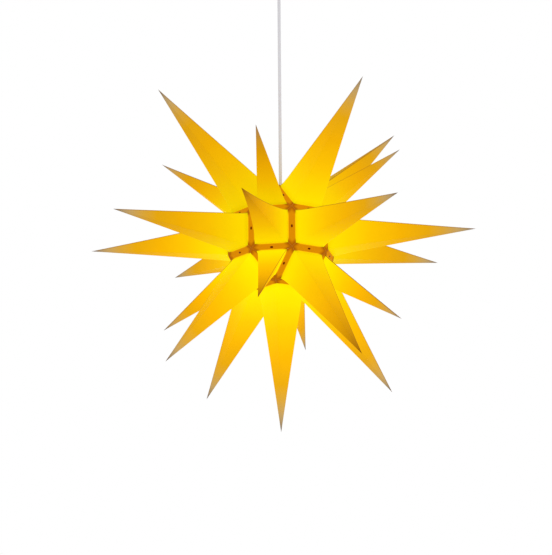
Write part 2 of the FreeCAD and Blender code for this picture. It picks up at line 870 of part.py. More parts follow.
def wirePair(start, level, end):
    """Two insulated wires from a cord's end, spread to two terminals and straight past the level."""
    near = number("wire_start")
    far = number("wire_spread")
    radius = number("wire_radius")
    fork = (level - start) / 3
    wires = []
    for side in (1, -1):
        places = [
            Vector(side * near, 0, start),
            Vector(side * near, 0, start + fork),
            Vector(side * far, 0, level),
            Vector(side * far, 0, end),
        ]
        wires.append(roundWire(places, 3 * radius, radius))
    return Part.makeCompound(wires)


def bulbGlass():
    """A round bulb: a ball with a cone that touches it, open at the neck, one wall thick."""

    def profile(ball, neck, top):
        middle = -number("bulb_length") + number("bulb_radius")
        reach = math.hypot(neck, top - middle)
        angle = math.atan2(top - middle, neck) - math.acos(ball / reach)
        touch = Vector(ball * math.cos(angle), 0, middle + ball * math.sin(angle))
        low = -math.pi / 4
        side = Vector(ball * math.cos(low), 0, middle + ball * math.sin(low))
        bottom = Vector(0, 0, middle - ball)
        return [
            Part.LineSegment(Vector(neck, 0, top), touch).toShape(),
            Part.Arc(touch, side, bottom).toShape(),
            Part.LineSegment(bottom, Vector(0, 0, top)).toShape(),
            Part.LineSegment(Vector(0, 0, top), Vector(neck, 0, top)).toShape(),
        ]

    def spun(edges):
        return Part.Face(Part.Wire(edges)).revolve(Vector(), Vector(0, 0, 1), 360)

    wall = number("bulb_wall")
    top = -number("bulb_cap_length")
    neck = number("bulb_neck_radius")
    outside = spun(profile(number("bulb_radius"), neck, top))
    inside = spun(profile(number("bulb_radius") - wall, neck - wall, top + wall))
    feature("bulb_glass", outside.cut(inside), Vector(0, 0, number(BULB_TOP)))


def bulb():
    bulbGlass()
    capTop = "( 0 - bulb_contact_rise - insulator_rise )"
    thread = "bulb_cap_length - bulb_skirt_length - 2 * thread_pitch"
    outside = corrugated("bulb_cap_radius", "0 - thread_ridge", f"{capTop} - 1", thread)
    skirt = "0 - bulb_cap_length + bulb_skirt_length"
    outside += [
        ("bulb_cap_radius", skirt),
        ("bulb_skirt_radius", f"{skirt} - 1"),
        ("bulb_skirt_radius", "0 - bulb_cap_length"),
    ]
    inside = [(f"{radius} - bulb_cap_wall", up) for radius, up in reversed(outside)]
    rim = "bulb_contact_radius + 2.6"
    turned("bulb_cap", [(rim, capTop)] + outside + inside + [(rim, f"{capTop} - bulb_cap_wall")], BULB_TOP)
    low = "( 0 - bulb_contact_rise )"
    turned(
        "bulb_insulator",
        [
            ("0", low),
            ("bulb_contact_radius", low),
            (f"{rim} - thread_play", capTop),
            (f"{rim} - thread_play", f"{capTop} - 2"),
            ("0", f"{capTop} - 2"),
        ],
        BULB_TOP,
    )
    turned(
        "bulb_contact",
        [("0", low), ("bulb_contact_radius", low), ("bulb_contact_radius - 0.6", "0"), ("0", "0")],
        BULB_TOP,
    )
    flare = "bulb_neck_radius - bulb_wall - thread_play"
    start = "0 - bulb_cap_length - thread_play"
    tip = f"{start} - stem_length"
    turned(
        "bulb_stem",
        [
            ("0", start),
            (flare, start),
            (flare, f"{start} - bulb_wall"),
            ("stem_radius", f"{start} - stem_radius"),
            ("stem_tip_radius", tip),
            ("0", tip),
        ],
        BULB_TOP,
    )
    top = number(f"{tip} - thread_play - 2 * filament_radius")
    near = number("stem_tip_radius - 2 * filament_radius")
    wide = 3 * number("stem_tip_radius")
    drop = number("stem_length") / 3
    places = [Vector(-near, 0, top), Vector(-wide, 0, top - drop), Vector(wide, 0, top - drop)]
    places.append(Vector(near, 0, top))
    wire = roundWire(places, 4 * number("filament_radius"), number("filament_radius"))
    feature("bulb_filament", wire, Vector(0, 0, number(BULB_TOP)))


def canopyCup():
    hole = "bush_radius + cord_play"
    cup = turned(
        "canopy_cup",
        [
            (hole, "0 - cup_height"),
            ("cup_bottom_radius", "0 - cup_height"),
            ("cup_top_radius", "0"),
            ("cup_top_radius - cup_wall", "0"),
            ("cup_bottom_radius - cup_wall", "0 - cup_height + cup_wall"),
            (hole, "0 - cup_height + cup_wall"),
        ],
    )
    roundRing(cup, "outer_round", "cup_bottom_radius", "0 - cup_height", "cup_round")
    roundRing(
        cup, "inner_round", "cup_bottom_radius - cup_wall", "0 - cup_height + cup_wall",
        "cup_round - cup_wall",
    )
    cutThrough(
        cup, "screw_holes", "YZ_Plane",
        lambda s: addCircle(s, "0", "0 - screw_depth", "screw_radius + cord_play"),
    )


def tabReach():
    """How far the bracket's tabs stand out: their edges nearly touch the cup's inner wall."""
    taper = "( cup_top_radius - cup_bottom_radius ) * bracket_tab / cup_height"
    inner = f"( cup_top_radius - cup_wall - {taper} )"
    return f"( sqrt({inner} ^ 2 - ( bracket_width / 2 ) ^ 2 ) - tab_play )"


def ceilingBracket():
    body = newBody("ceiling_bracket")
    out = tabReach()
    inner = f"( {out} - bracket_thick )"
    right = [(out, "0"), (out, "0 - bracket_tab"), (inner, "0 - bracket_tab"), (inner, "0 - bracket_thick")]
    left = [(f"0 - {across}", up) for across, up in reversed(right)]
    profile = newSketch(body, "profile", "XZ_Plane")
    addOutline(profile, right + left)
    pad = body.newObject("PartDesign::Pad", "bracket_strip")
    pad.Profile = profile
    pad.SideType = "Symmetric"
    bind(pad, "Length", "bracket_width")
    doc.recompute()
    reach = "( slot_length / 2 - slot_radius )"
    for name, middle in (("right_slot", "slot_spacing / 2"), ("left_slot", "0 - slot_spacing / 2")):
        cutThrough(body, name, "XY_Plane", lambda s: addSlot(s, middle, reach, "slot_radius"))
    cutThrough(
        body, "block_hole", "XY_Plane",
        lambda s: addCircle(s, "0", "0", "block_screw_radius + thread_play"),
    )
    cutThrough(
        body, "tab_holes", "YZ_Plane",
        lambda s: addCircle(s, "0", "0 - screw_depth", "screw_radius + thread_play"),
    )


def canopyScrews():
    """Two screws through the cup's wall into the bracket's tabs."""
    slope = number("( cup_top_radius - cup_bottom_radius ) / cup_height")
    headTop = number("screw_depth - screw_head_radius")
    seat = number("cup_top_radius") - slope * headTop + number("thread_play")
    length = seat - number(f"{tabReach()} - bracket_thick - screw_past_tab")
    single = screw(
        number("screw_radius"), length, number("screw_head_radius"), number("screw_head_thick")
    )
    both = []
    for side in (1, -1):
        one = single.copy()
        one.Placement = Placement(Vector(side * seat, 0, 0), Rotation(Vector(0, 1, 0), 90 * side))
        both.append(one)
    feature("canopy_screws", Part.makeCompound(both), Vector(0, 0, -number("screw_depth")))


def terminalBlock():
    """A two-way block under the bracket, with wire holes from below and clamp screws from the side."""
    top = "0 - bracket_thick"
    foot = f"{top} - terminal_height"
    box = primitive(
        "Box", "terminal_box", foot, "0 - terminal_width / 2", "0 - terminal_length / 2",
        Length="terminal_width", Width="terminal_length", Height="terminal_height",
    )
    deep = "( terminal_height - side_screw_depth + 2 )"
    tools = [
        primitive(
            "Cylinder", "block_screw_hole", foot,
            Radius="block_screw_radius + thread_play", Height="terminal_height",
        )
    ]
    for side, sign in (("right", ""), ("left", "0 - ")):
        tools.append(primitive(
            "Cylinder", f"{side}_terminal_hole", foot, f"{sign}wire_spread",
            Radius="wire_radius + wire_play", Height=deep,
        ))
        clamp = primitive(
            "Cylinder", f"{side}_clamp_hole", f"{top} - side_screw_depth", f"{sign}wire_spread",
            Radius="terminal_screw_radius + thread_play", Height="terminal_length / 2",
        )
        clamp.Placement.Rotation = Rotation(Vector(1, 0, 0), 90)
        tools.append(clamp)
    cutFrom("terminal_block", box, tools)
    clampLength = number("terminal_length / 2 - wire_radius - wire_play")
    single = screw(
        number("terminal_screw_radius"), clampLength,
        number("terminal_head_radius"), number("terminal_head_thick"),
    )
    both = []
    for side in (1, -1):
        one = single.copy()
        out = Vector(side * number("wire_spread"), -number("terminal_length") / 2, 0)
        one.Placement = Placement(out, Rotation(Vector(1, 0, 0), 90))
        both.append(one)
    feature("terminal_screws", Part.makeCompound(both), Vector(0, 0, number(f"{top} - side_screw_depth")))
    hold = screw(
        number("block_screw_radius"), number("terminal_height + bracket_thick"),
        number("block_screw_head_radius"), number("block_screw_head_thick"),
    )
    hold.rotate(Vector(), Vector(1, 0, 0), 180)
    feature("block_screw", hold, Vector(0, 0, number(foot)))
    start = number("0 - lead_end + wire_play")
    end = number(f"{foot} + {deep} - wire_play - 1")
    level = number(f"{foot} - block_screw_head_thick - bracket_thick / 2")
    feature("canopy_conductors", wirePair(start, level, end))


def cordBush():
    """The socket that screws up through the cup and carries the sleeve's ball on its lip."""
    foot = "0 - cup_height"
    neck = primitive("Cylinder", "bush_neck", foot, Radius="bush_radius", Height="bush_top")
    flange = primitive(
        "Cylinder", "bush_flange", f"{foot} - bush_flange_thick",
        Radius="bush_flange_radius", Height="bush_flange_thick",
    )
    bodyShape = fused("bush_blank", [neck, flange])
    seat = "( ball_radius + ball_play )"
    lip = f"sqrt({seat} ^ 2 - lip_below ^ 2 )"
    lipLevel = f"( {PIVOT} - lip_below )"
    mouth = f"( {lipLevel} + cup_height + bush_flange_thick )"
    tools = [
        primitive("Sphere", "bush_seat", PIVOT, Radius=seat),
        primitive("Cylinder", "bush_entry", PIVOT, Radius=seat, Height="bush_top"),
        primitive(
            "Cone", "bush_mouth", f"{foot} - bush_flange_thick",
            Radius1="mouth_radius", Radius2=lip, Height=mouth,
        ),
    ]
    doc.recompute()
    cutFrom("cord_bush", bodyShape, tools)
    hexNut(
        "bush_nut", f"{foot} + cup_wall", "2 * bush_nut_radius", "bush_nut_thick",
        "bush_radius + thread_play",
    )


def reliefSleeve():
    """A ball-headed tapered sleeve round the cord."""
    ball = primitive("Sphere", "sleeve_ball", PIVOT, Radius="ball_radius")
    taper = primitive(
        "Cone", "sleeve_taper", MOUTH,
        Radius1="sleeve_end_radius", Radius2="sleeve_neck_radius", Height="sleeve_length",
    )
    blank = fused("sleeve_blank", [ball, taper])
    bore = primitive(
        "Cylinder", "sleeve_bore", MOUTH, Radius=CORD_BORE, Height="sleeve_length + ball_radius"
    )
    bevel = primitive(
        "Cone", "sleeve_bevel", MOUTH,
        Radius1=f"{CORD_BORE} + sleeve_mouth_bevel", Radius2=CORD_BORE, Height="sleeve_mouth_bevel",
    )
    doc.recompute()
    cutFrom("relief_sleeve", blank, [bore, bevel])


def cords():
    """The cord in three stretches: in the cup, in the sleeve, and hanging."""
    leadFoot = f"{PIVOT} + ball_radius + ball_play"
    leadLength = f"0 - lead_end - ( {leadFoot} )"
    primitive("Cylinder", "canopy_lead", leadFoot, Radius="cord_radius", Height=leadLength)
    stubFoot = f"{MOUTH} + cord_radius + cord_play"
    stubTop = f"( {PIVOT} + ball_radius - ball_play )"
    primitive("Cylinder", "sleeve_cord", stubFoot, Radius="cord_radius", Height=f"{stubTop} - ( {stubFoot} )")
    tip = primitive("Sphere", "cord_round_end", MOUTH, Radius="cord_radius")
    run = primitive("Cylinder", "cord_run", CORD_END, Radius="cord_radius", Height=f"{MOUTH} - {CORD_END}")
    item = doc.addObject("Part::Fuse", "pendant_cord")
    item.Base = run
    item.Tool = tip
    item.Label = "pendant_cord"
    doc.recompute()
    length = number(f"{MOUTH} - {CORD_END}")
    area = math.pi * number("cord_radius") ** 2
    filled = item.Shape.Volume / area / length
    print(f"cord: {length:.1f} mm straight, volume over section times length {filled:.3f}")


POINTS = paperPoints()
splitPins()
hangerBar()
holderNipple()
holderShells()
contactBlock()
bulb()
canopyCup()
ceilingBracket()
canopyScrews()
terminalBlock()
cordBush()
reliefSleeve()
cords()
doc.recompute()

SUB_PARTS = POINTS + [
    "split_pins",
    "hanger_bar",
    "holder_nipple",
    "lock_nut",
    "holder_cap",
    "holder_body",
    "cord_clamp",
    "contact_block",
    "holder_screws",
    "screw_shell",
    "centre_contact",
    "holder_conductors",
    "bulb_glass",
    "bulb_cap",
    "bulb_insulator",
    "bulb_contact",
    "bulb_stem",
    "bulb_filament",
    "canopy_cup",
    "ceiling_bracket",
    "canopy_screws",
    "terminal_block",
    "terminal_screws",
    "block_screw",
    "canopy_lead",
    "canopy_conductors",
    "cord_bush",
    "bush_nut",
    "relief_sleeve",
    "sleeve_cord",
    "pendant_cord",
]


def checkAndWrite():
    """Stops on any failed object or bad shape, then writes one file for each sub-part."""
    for item in doc.Objects:
        if "Invalid" in item.State or "Error" in item.State:
            raise ValueError(f"{item.Label} failed: {item.State}")
    found = [doc.getObjectsByLabel(label)[0] for label in SUB_PARTS]
    for item in found:
        if item.Shape.isNull() or not item.Shape.isValid() or not item.Shape.Solids:
            raise ValueError(f"{item.Label} has no sound shape")
    for item in found:
        item.Shape.exportStep(f"parts/{item.Label}.step")
    print(f"{len(found)} sub-parts, {sum(len(item.Shape.Solids) for item in found)} solids")


checkAndWrite()
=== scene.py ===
import math

import bpy
from mathutils import Matrix, Vector


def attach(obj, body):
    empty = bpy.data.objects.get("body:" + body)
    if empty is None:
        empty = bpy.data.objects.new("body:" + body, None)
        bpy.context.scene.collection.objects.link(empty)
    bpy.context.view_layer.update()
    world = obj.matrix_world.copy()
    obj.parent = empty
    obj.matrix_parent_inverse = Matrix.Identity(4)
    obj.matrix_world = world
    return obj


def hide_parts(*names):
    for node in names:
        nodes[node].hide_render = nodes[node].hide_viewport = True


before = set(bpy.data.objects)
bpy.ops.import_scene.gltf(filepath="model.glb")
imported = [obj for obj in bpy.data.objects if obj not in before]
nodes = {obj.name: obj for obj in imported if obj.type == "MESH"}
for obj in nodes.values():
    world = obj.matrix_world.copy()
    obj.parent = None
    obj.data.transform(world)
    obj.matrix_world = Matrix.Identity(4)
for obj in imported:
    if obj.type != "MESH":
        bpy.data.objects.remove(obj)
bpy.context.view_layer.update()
print("frame loaded:", len(nodes), "nodes")


view = {  # the photo's camera, fitted to the star's tips: degrees, metres and a lens in millimetres
    "azimuth": -34.152,
    "elevation": -13.775,
    "distance": 4.2409,
    "aimAt": (0.0012, 0.016, -0.5318),
    "roll": 0.4445,
    "lens": 179.71,
    "clipEnd": 50,
}


def placeCamera(view):
    azimuth = math.radians(view["azimuth"])
    elevation = math.radians(view["elevation"])
    level = math.cos(elevation)
    away = Vector((math.sin(azimuth) * level, -math.cos(azimuth) * level, math.sin(elevation)))
    turn = (-away).to_track_quat("-Z", "Y").to_matrix()
    turn = Matrix.Rotation(math.radians(view["roll"]), 3, -away) @ turn
    camera = bpy.data.cameras.new("photoCamera")
    camera.lens = view["lens"]
    camera.clip_end = view["clipEnd"]
    holder = bpy.data.objects.new("photoCamera", camera)
    place = Vector(view["aimAt"]) + away * view["distance"]
    holder.matrix_world = Matrix.Translation(place) @ turn.to_4x4()
    bpy.context.scene.collection.objects.link(holder)
    bpy.context.scene.camera = holder


placeCamera(view)

cord = {  # the route that part.py gives it
    "route": [(0, 0, -0.084), (0, 0, -0.114), (0, 0, -0.382), (0, 0, -0.41205)],
    "diameter": 0.005,
    "length": 0.328,
    "roundness": 6,
    "smoothness": 16,
}


def makeCord(cord):
    curve = bpy.data.curves.new("pendantCord", "CURVE")
    curve.dimensions = "3D"
    curve.bevel_depth = 1  # times the radius that each point has
    curve.bevel_resolution = cord["roundness"]
    curve.resolution_u = cord["smoothness"]
    curve.use_fill_caps = True
    line = curve.splines.new("NURBS")
    line.points.add(len(cord["route"]) - 1)
    for point, place in zip(line.points, cord["route"]):
        point.co = (*place, 1)
        point.radius = cord["diameter"] / 2
    line.order_u = 3
    line.use_endpoint_u = True
    piece = bpy.data.objects.new("pendantCord", curve)
    bpy.context.scene.collection.objects.link(piece)
    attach(piece, "cord")
    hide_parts("pendant_cord")
    return piece


pendantCord = makeCord(cord)
print("camera and cord placed")


def addNode(tree, kind, **settings):
    node = tree.nodes.new(kind)
    for name, value in settings.items():
        setattr(node, name, value)
    return node


def feed(tree, socket, value):
    if isinstance(value, bpy.types.NodeSocket):
        tree.links.new(value, socket)
    else:
        socket.default_value = value


def socketOf(sockets, identifier):
    return next(socket for socket in sockets if socket.identifier == identifier)


def sums(tree, operation, *values):
    # one step of arithmetic; the values are numbers or sockets
    node = addNode(tree, "ShaderNodeMath", operation=operation)
    for socket, value in zip(node.inputs, values):
        feed(tree, socket, value)
    return node.outputs[0]


def vectors(tree, operation, *values):
    node = addNode(tree, "ShaderNodeVectorMath", operation=operation)
    for socket, value in zip(node.inputs, values):
        feed(tree, socket, value)
    return node.outputs["Value" if operation in ("LENGTH", "DOT_PRODUCT") else "Vector"]


def scaled(tree, vector, by):
    node = addNode(tree, "ShaderNodeVectorMath", operation="SCALE")
    feed(tree, node.inputs[0], vector)
    feed(tree, node.inputs["Scale"], by)
    return node.outputs["Vector"]


def newTree(name, kind, inputs, outputs):
    tree = bpy.data.node_groups.new(name, kind)
    for label, socketType, value in inputs:
        socket = tree.interface.new_socket(name=label, in_out="INPUT", socket_type=socketType)
        if value is not None:
            socket.default_value = value
    for label, socketType in outputs:
        tree.interface.new_socket(name=label, in_out="OUTPUT", socket_type=socketType)
    start = tree.nodes.new("NodeGroupInput")
    end = tree.nodes.new("NodeGroupOutput")
    return tree, start.outputs, end.inputs


def inputKeys(tree):
    return {
        item.name: item.identifier
        for item in tree.interface.items_tree
        if item.item_type == "SOCKET" and item.in_out == "INPUT"
    }


def joined(tree, *shapes):
    node = addNode(tree, "GeometryNodeJoinGeometry")
    for shape in shapes:
        tree.links.new(shape, node.inputs[0])
    return node.outputs[0]


def smoothed(tree, shape):
    node = addNode(tree, "GeometryNodeSetShadeSmooth")
    tree.links.new(shape, node.inputs["Geometry"])
    return node.outputs["Geometry"]


def painted(tree, shape, material):
    # instances become real and take their finish
    realize = addNode(tree, "GeometryNodeRealizeInstances")
    tree.links.new(shape, realize.inputs[0])
    paint = addNode(tree, "GeometryNodeSetMaterial")
    tree.links.new(realize.outputs[0], paint.inputs["Geometry"])
    tree.links.new(material, paint.inputs["Material"])
    return paint.outputs["Geometry"]


def madeByTree(name, mesh, tree, values):
    # runs a geometry tree on a mesh and keeps the result as a plain mesh
    piece = bpy.data.objects.new(name, mesh)
    bpy.context.scene.collection.objects.link(piece)
    modifier = piece.modifiers.new("shape", "NODES")
    modifier.node_group = tree
    keys = inputKeys(tree)
    for label, value in values.items():
        modifier[keys[label]] = value
    bpy.context.view_layer.update()
    graph = bpy.context.evaluated_depsgraph_get()
    ready = piece.evaluated_get(graph)
    made = bpy.data.meshes.new_from_object(ready, preserve_all_data_layers=True, depsgraph=graph)
    piece.modifiers.remove(modifier)
    piece.data = made
    made.name = name
    return piece


def newMaterial(name):
    material = bpy.data.materials.new(name)
    material.use_nodes = True
    tree = material.node_tree
    shader = tree.nodes["Principled BSDF"]
    return material, tree, shader


grainLook = {
    "fineDetail": 4.0,
    "broadDetail": 2.0,
    "broadScale": 0.07,  # against the fine noise's scale
}


def grainGroup(look):
    # fine surface noise: a height for bump and a slight change of shade
    tree, given, out = newTree(
        "fineGrain",
        "ShaderNodeTree",
        [
            ("Scale", "NodeSocketFloat", None),
            ("Stretch", "NodeSocketVector", (1, 1, 1)),
            ("Shade", "NodeSocketFloat", None),
        ],
        [("Height", "NodeSocketFloat"), ("Tone", "NodeSocketFloat")],
    )
    place = addNode(tree, "ShaderNodeTexCoord").outputs["Object"]
    place = vectors(tree, "MULTIPLY", place, given["Stretch"])
    fine = addNode(tree, "ShaderNodeTexNoise")
    feed(tree, fine.inputs["Vector"], place)
    feed(tree, fine.inputs["Scale"], given["Scale"])
    feed(tree, fine.inputs["Detail"], look["fineDetail"])
    broad = addNode(tree, "ShaderNodeTexNoise")
    feed(tree, broad.inputs["Vector"], place)
    feed(tree, broad.inputs["Scale"], sums(tree, "MULTIPLY", given["Scale"], look["broadScale"]))
    feed(tree, broad.inputs["Detail"], look["broadDetail"])
    tree.links.new(fine.outputs["Fac"], out["Height"])
    swing = sums(tree, "SUBTRACT", sums(tree, "ADD", fine.outputs["Fac"], broad.outputs["Fac"]), 1.0)
    swing = sums(tree, "MULTIPLY", swing, given["Shade"])
    tree.links.new(sums(tree, "ADD", swing, 1.0), out["Tone"])
    return tree


fineGrain = grainGroup(grainLook)


def roughen(tree, shader, grain, strength, depth):
    # the grain's height as bump; its depth is in metres
    surface = addNode(tree, "ShaderNodeBump")
    surface.inputs["Strength"].default_value = strength
    surface.inputs["Distance"].default_value = depth
    tree.links.new(grain.outputs["Height"], surface.inputs["Height"])
    tree.links.new(surface.outputs["Normal"], shader.inputs["Normal"])


def finish(
    name, color, roughness, scale, stretch=(1, 1, 1), shade=0.15, bump=0.00005, roughSwing=0.1,
    metallic=0.0, coat=0.0, glow=None, bumpStrength=0.6,
):
    # a plain finish with grain in its colour, its roughness and its surface
    material, tree, shader = newMaterial(name)
    grain = addNode(tree, "ShaderNodeGroup", node_tree=fineGrain)
    grain.inputs["Scale"].default_value = scale
    grain.inputs["Stretch"].default_value = stretch
    grain.inputs["Shade"].default_value = shade
    tint = scaled(tree, color, grain.outputs["Tone"])
    tree.links.new(tint, shader.inputs["Base Color"])
    rough = sums(tree, "MULTIPLY_ADD", grain.outputs["Height"], roughSwing, roughness - roughSwing / 2)
    tree.links.new(rough, shader.inputs["Roughness"])
    shader.inputs["Metallic"].default_value = metallic
    if coat:
        shader.inputs["Coat Weight"].default_value = coat
    roughen(tree, shader, grain, bumpStrength, bump)
    if glow:
        glowColor, glowStrength = glow
        feed(tree, shader.inputs["Emission Color"], scaled(tree, glowColor, grain.outputs["Tone"]))
        shader.inputs["Emission Strength"].default_value = glowStrength
    return material


def metal(name, color, roughness, scale, **more):
    return finish(name, color, roughness, scale, metallic=1.0, **more)


def dress(material, *names):
    for name in names:
        mesh = nodes[name].data
        mesh.materials.clear()
        mesh.materials.append(material)


moulded = {"shade": 0.05, "bump": 0.00003}
polished = {"shade": 0.04, "bump": 0.00002}
hardware = {
    "hanger_bar": metal("sheetSteel", (0.5, 0.5, 0.5), 0.35, 900, stretch=(0.08, 1, 1), shade=0.2),
    "holder_nipple": metal("zincThread", (0.6, 0.6, 0.62), 0.32, 700),
    "lock_nut": metal("zincNut", (0.58, 0.58, 0.6), 0.3, 500),
    "ceiling_bracket": metal("zincSheet", (0.6, 0.6, 0.61), 0.38, 260, shade=0.3),
    "canopy_screws": metal("zincScrew", (0.62, 0.62, 0.64), 0.3, 900),
    "block_screw": metal("zincScrewSmall", (0.6, 0.6, 0.62), 0.3, 900),
    "holder_cap": finish("mouldedCap", (0.82, 0.82, 0.79), 0.42, 1200, **moulded),
    "holder_body": finish("mouldedBody", (0.82, 0.82, 0.79), 0.42, 1200, **moulded),
    "cord_clamp": finish("mouldedClamp", (0.75, 0.75, 0.72), 0.5, 1000, **moulded),
    "contact_block": finish("glazedBlock", (0.8, 0.79, 0.75), 0.3, 500, shade=0.08, bump=0.00004),
    "holder_screws": metal("brassScrews", (0.62, 0.46, 0.2), 0.3, 900),
    "screw_shell": metal("brassShell", (0.66, 0.5, 0.23), 0.28, 500),
    "centre_contact": metal("brassSpring", (0.66, 0.5, 0.23), 0.3, 700),
    "terminal_screws": metal("brassTerminal", (0.62, 0.46, 0.2), 0.32, 900),
    "holder_conductors": finish("brownInsulation", (0.16, 0.07, 0.035), 0.45, 900),
    "canopy_conductors": finish("brownLeads", (0.16, 0.07, 0.035), 0.45, 900),
    "bulb_glass": finish(
        "frostedBulb", (0.9, 0.87, 0.8), 0.4, 700, glow=((1.0, 0.86, 0.6), 1.2), **polished
    ),
    "bulb_stem": finish("clearStem", (0.8, 0.83, 0.82), 0.1, 500),
    "bulb_filament": metal("filamentWire", (0.5, 0.3, 0.12), 0.4, 900, glow=((1.0, 0.6, 0.2), 3.0)),
    "bulb_cap": metal("rolledCap", (0.7, 0.7, 0.68), 0.3, 600, stretch=(1, 1, 0.4), shade=0.2),
    "bulb_contact": metal("tinnedContact", (0.6, 0.6, 0.58), 0.35, 600),
    "bulb_insulator": finish("blackGlass", (0.012, 0.012, 0.014), 0.12, 500, coat=0.5),
    "canopy_cup": finish(
        "canopyPlastic", (0.84, 0.84, 0.82), 0.3, 1400, roughSwing=0.08, coat=0.2, **polished
    ),
    "cord_bush": finish("bushPlastic", (0.82, 0.82, 0.8), 0.34, 1200, **polished),
    "bush_nut": finish("nutPlastic", (0.82, 0.82, 0.8), 0.36, 1200, **polished),
    "terminal_block": finish("terminalPlastic", (0.78, 0.78, 0.75), 0.45, 1000, **moulded),
    "relief_sleeve": finish("sleeveRubber", (0.72, 0.72, 0.71), 0.55, 1500, shade=0.06, bump=0.00004),
}
for name, material in hardware.items():
    dress(material, name)

cordSkin = finish(
    "cordPvc", (0.66, 0.65, 0.68), 0.38, 1800, stretch=(1, 1, 0.15), shade=0.06, bump=0.00003
)
dress(cordSkin, "sleeve_cord", "canopy_lead")
pendantCord.data.materials.append(cordSkin)
print("hardware finishes set")


star = {  # sizes in metres; the ball, the tips, the paper and the flaps are part.py's
    "middle": Vector((0, 0, -0.475)),
    "ballEdge": 0.064,
    "bigInset": 0.0064,  # from a ball edge to the foot of a four-sided point
    "smallInset": 0.0048,  # the same for a three-sided point
    "bigReach": 0.300,
    "smallReach": 0.228,
    "leans": {  # degrees that a ring's tips hang under their faces' directions
        "upper_point": 2.6,
        "small_upper_point": 0.4,
        "lower_point": 1.1,
        "small_lower_point": 0.8,
    },
    "tipsOff": {  # degrees that single tips stand off their ring: round the cord, then up
        "belt_point_1": (-0.4, 0.5),
        "belt_point_3": (0.7, 0.2),
        "belt_point_4": (-0.6, -0.3),
        "belt_point_5": (0.4, 0.8),
        "belt_point_7": (0.2, 0.8),
        "belt_point_8": (0.3, 0),
        "upper_point_1": (0.5, 0),
        "upper_point_3": (-0.2, 0.1),
        "upper_point_4": (-0.6, -0.4),
        "lower_point_1": (0.3, -0.1),
        "lower_point_2": (0.3, 0.5),
        "lower_point_3": (0.5, 0.2),
        "lower_point_4": (0, -0.3),
        "small_upper_point_3": (-0.2, -0.8),
        "small_upper_point_4": (-0.1, 0.3),
        "small_lower_point_1": (-1.1, -0.3),
        "small_lower_point_4": (0.3, 0),
    },
    "bottomTipOff": Vector((-0.0014, 0.0015, 0)),
    "paper": 0.0004,
    "layerGap": 0.00005,  # between two flaps that lie on each other
    "mitreGap": 0.00015,  # along the slanted ends of a flap, closer than in part.py
    "flapEndGap": 0.0005,  # from a flap's free edge to its neighbour's foot
    "flapBack": 0.7,  # how far a flap runs on into its wall, in thicknesses of the paper
    "flapRows": (0, 0.12, 0.35, 0.7),  # shares of each of its two halves
    "flapColumns": (-1, -0.985, -0.96, -0.9, -0.7, -0.35, 0, 0.35, 0.7, 0.9, 0.96, 0.985, 1),
    "wallBow": 0.02,  # how far a wall sinks towards the point's axis, as a share of its distance
    "edgeBow": 0.07,  # how far a crease bows in along the point
    "edgeBows": {"belt_point_6": 0.3, "small_lower_point_3": 0.15, "lower_point_4": 0.12},
    "glows": {  # light through the paper: the bulb hangs low, so the lower points are brighter
        "upper_point": 0.82,
        "small_upper_point": 0.95,
        "lower_point": 1.22,
        "small_lower_point": 1.2,
        "bottom_point": 1.25,
        "belt_point_1": 0.88,
        "belt_point_4": 1.1,
        "belt_point_5": 0.88,
        "belt_point_6": 0.9,
        "upper_point_4": 1.0,
        "lower_point_4": 1.05,
        "small_upper_point_3": 0.8,
        "small_lower_point_3": 1.28,
    },
    "brownTipShades": {  # painted shade: these tips darken to brown, all other tips to a paler grey-brown
        "belt_point_6": 1.0,
        "lower_point_4": 1.0,
        "small_lower_point_3": 1.0,
        "small_upper_point_3": 0.6,
    },
    "topShade": 0.1,  # painted shade: walls that look up are darker and browner
    "topShades": {"upper_point_1": 0.45},
    "seamSide": Vector((-0.28, -0.41, 0.87)),  # where each point's glued crease lies
    "seamSides": {
        "lower_point_4": Vector((0.8, -0.54, 0.3)),
        "lower_point_3": Vector((-0.8, 0.54, 0.3)),
        "bottom_point": Vector((0.56, 0.83, 0)),
    },
    "seamDark": 0.6,  # two layers of paper, so less light
    "seamDarks": {"small_upper_point_2": 1.0, "small_lower_point_4": 1.0},
    "cornerRound": 0.9,
    "columns": 10,
    "rows": 14,
}


same = 1e-6  # lengths that differ by less are the same
slight = 0.01  # smaller angles and shares count as none


def cornersOfBall(star):
    # the 24 corners: two short sizes and a long one, in every order and with every sign
    half = star["ballEdge"] / 2
    long = half * (1 + math.sqrt(2))
    corners = []
    for spot in range(3):
        for signs in range(8):
            sizes = [half, half, half]
            sizes[spot] = long
            corners.append(Vector([size if signs >> i & 1 else -size for i, size in enumerate(sizes)]))
    return corners


def facesOfBall(star):
    # every face as its direction and its corners in order round it
    corners = cornersOfBall(star)
    faces = []
    for x in (-1, 0, 1):
        for y in (-1, 0, 1):
            for z in (-1, 0, 1):
                if x == y == z == 0:
                    continue
                out = Vector((x, y, z)).normalized()
                furthest = max(corner.dot(out) for corner in corners)
                around = [corner for corner in corners if corner.dot(out) > furthest - same]
                middle = sum(around, Vector()) / len(around)
                first = (around[0] - middle).normalized()
                second = out.cross(first)
                around.sort(key=lambda c: math.atan2((c - middle).dot(second), (c - middle).dot(first)))
                faces.append((out, around))
    return faces


ballFaces = facesOfBall(star)
# how far the flaps lie from the star's middle: the ball's edge middles, drawn in by the foot's inset
edgeLevel = star["ballEdge"] / 2 * math.sqrt(4 + 2 * math.sqrt(2))
jointLevel = edgeLevel - star["bigInset"] * math.sin(math.pi / 8)


def footOf(out, corners):
    # the ring that a point stands on
    middle = sum(corners, Vector()) / len(corners)
    inset = star["bigInset"] if len(corners) == 4 else star["smallInset"]
    edgeMiddle = (corners[0] + corners[1]) / 2
    inner = (edgeMiddle - middle).length
    apothem = inner - inset
    turn = out.angle(edgeMiddle)
    height = (jointLevel - apothem * math.sin(turn)) / math.cos(turn)
    return [out * height + (corner - middle) * (apothem / inner) for corner in corners], apothem


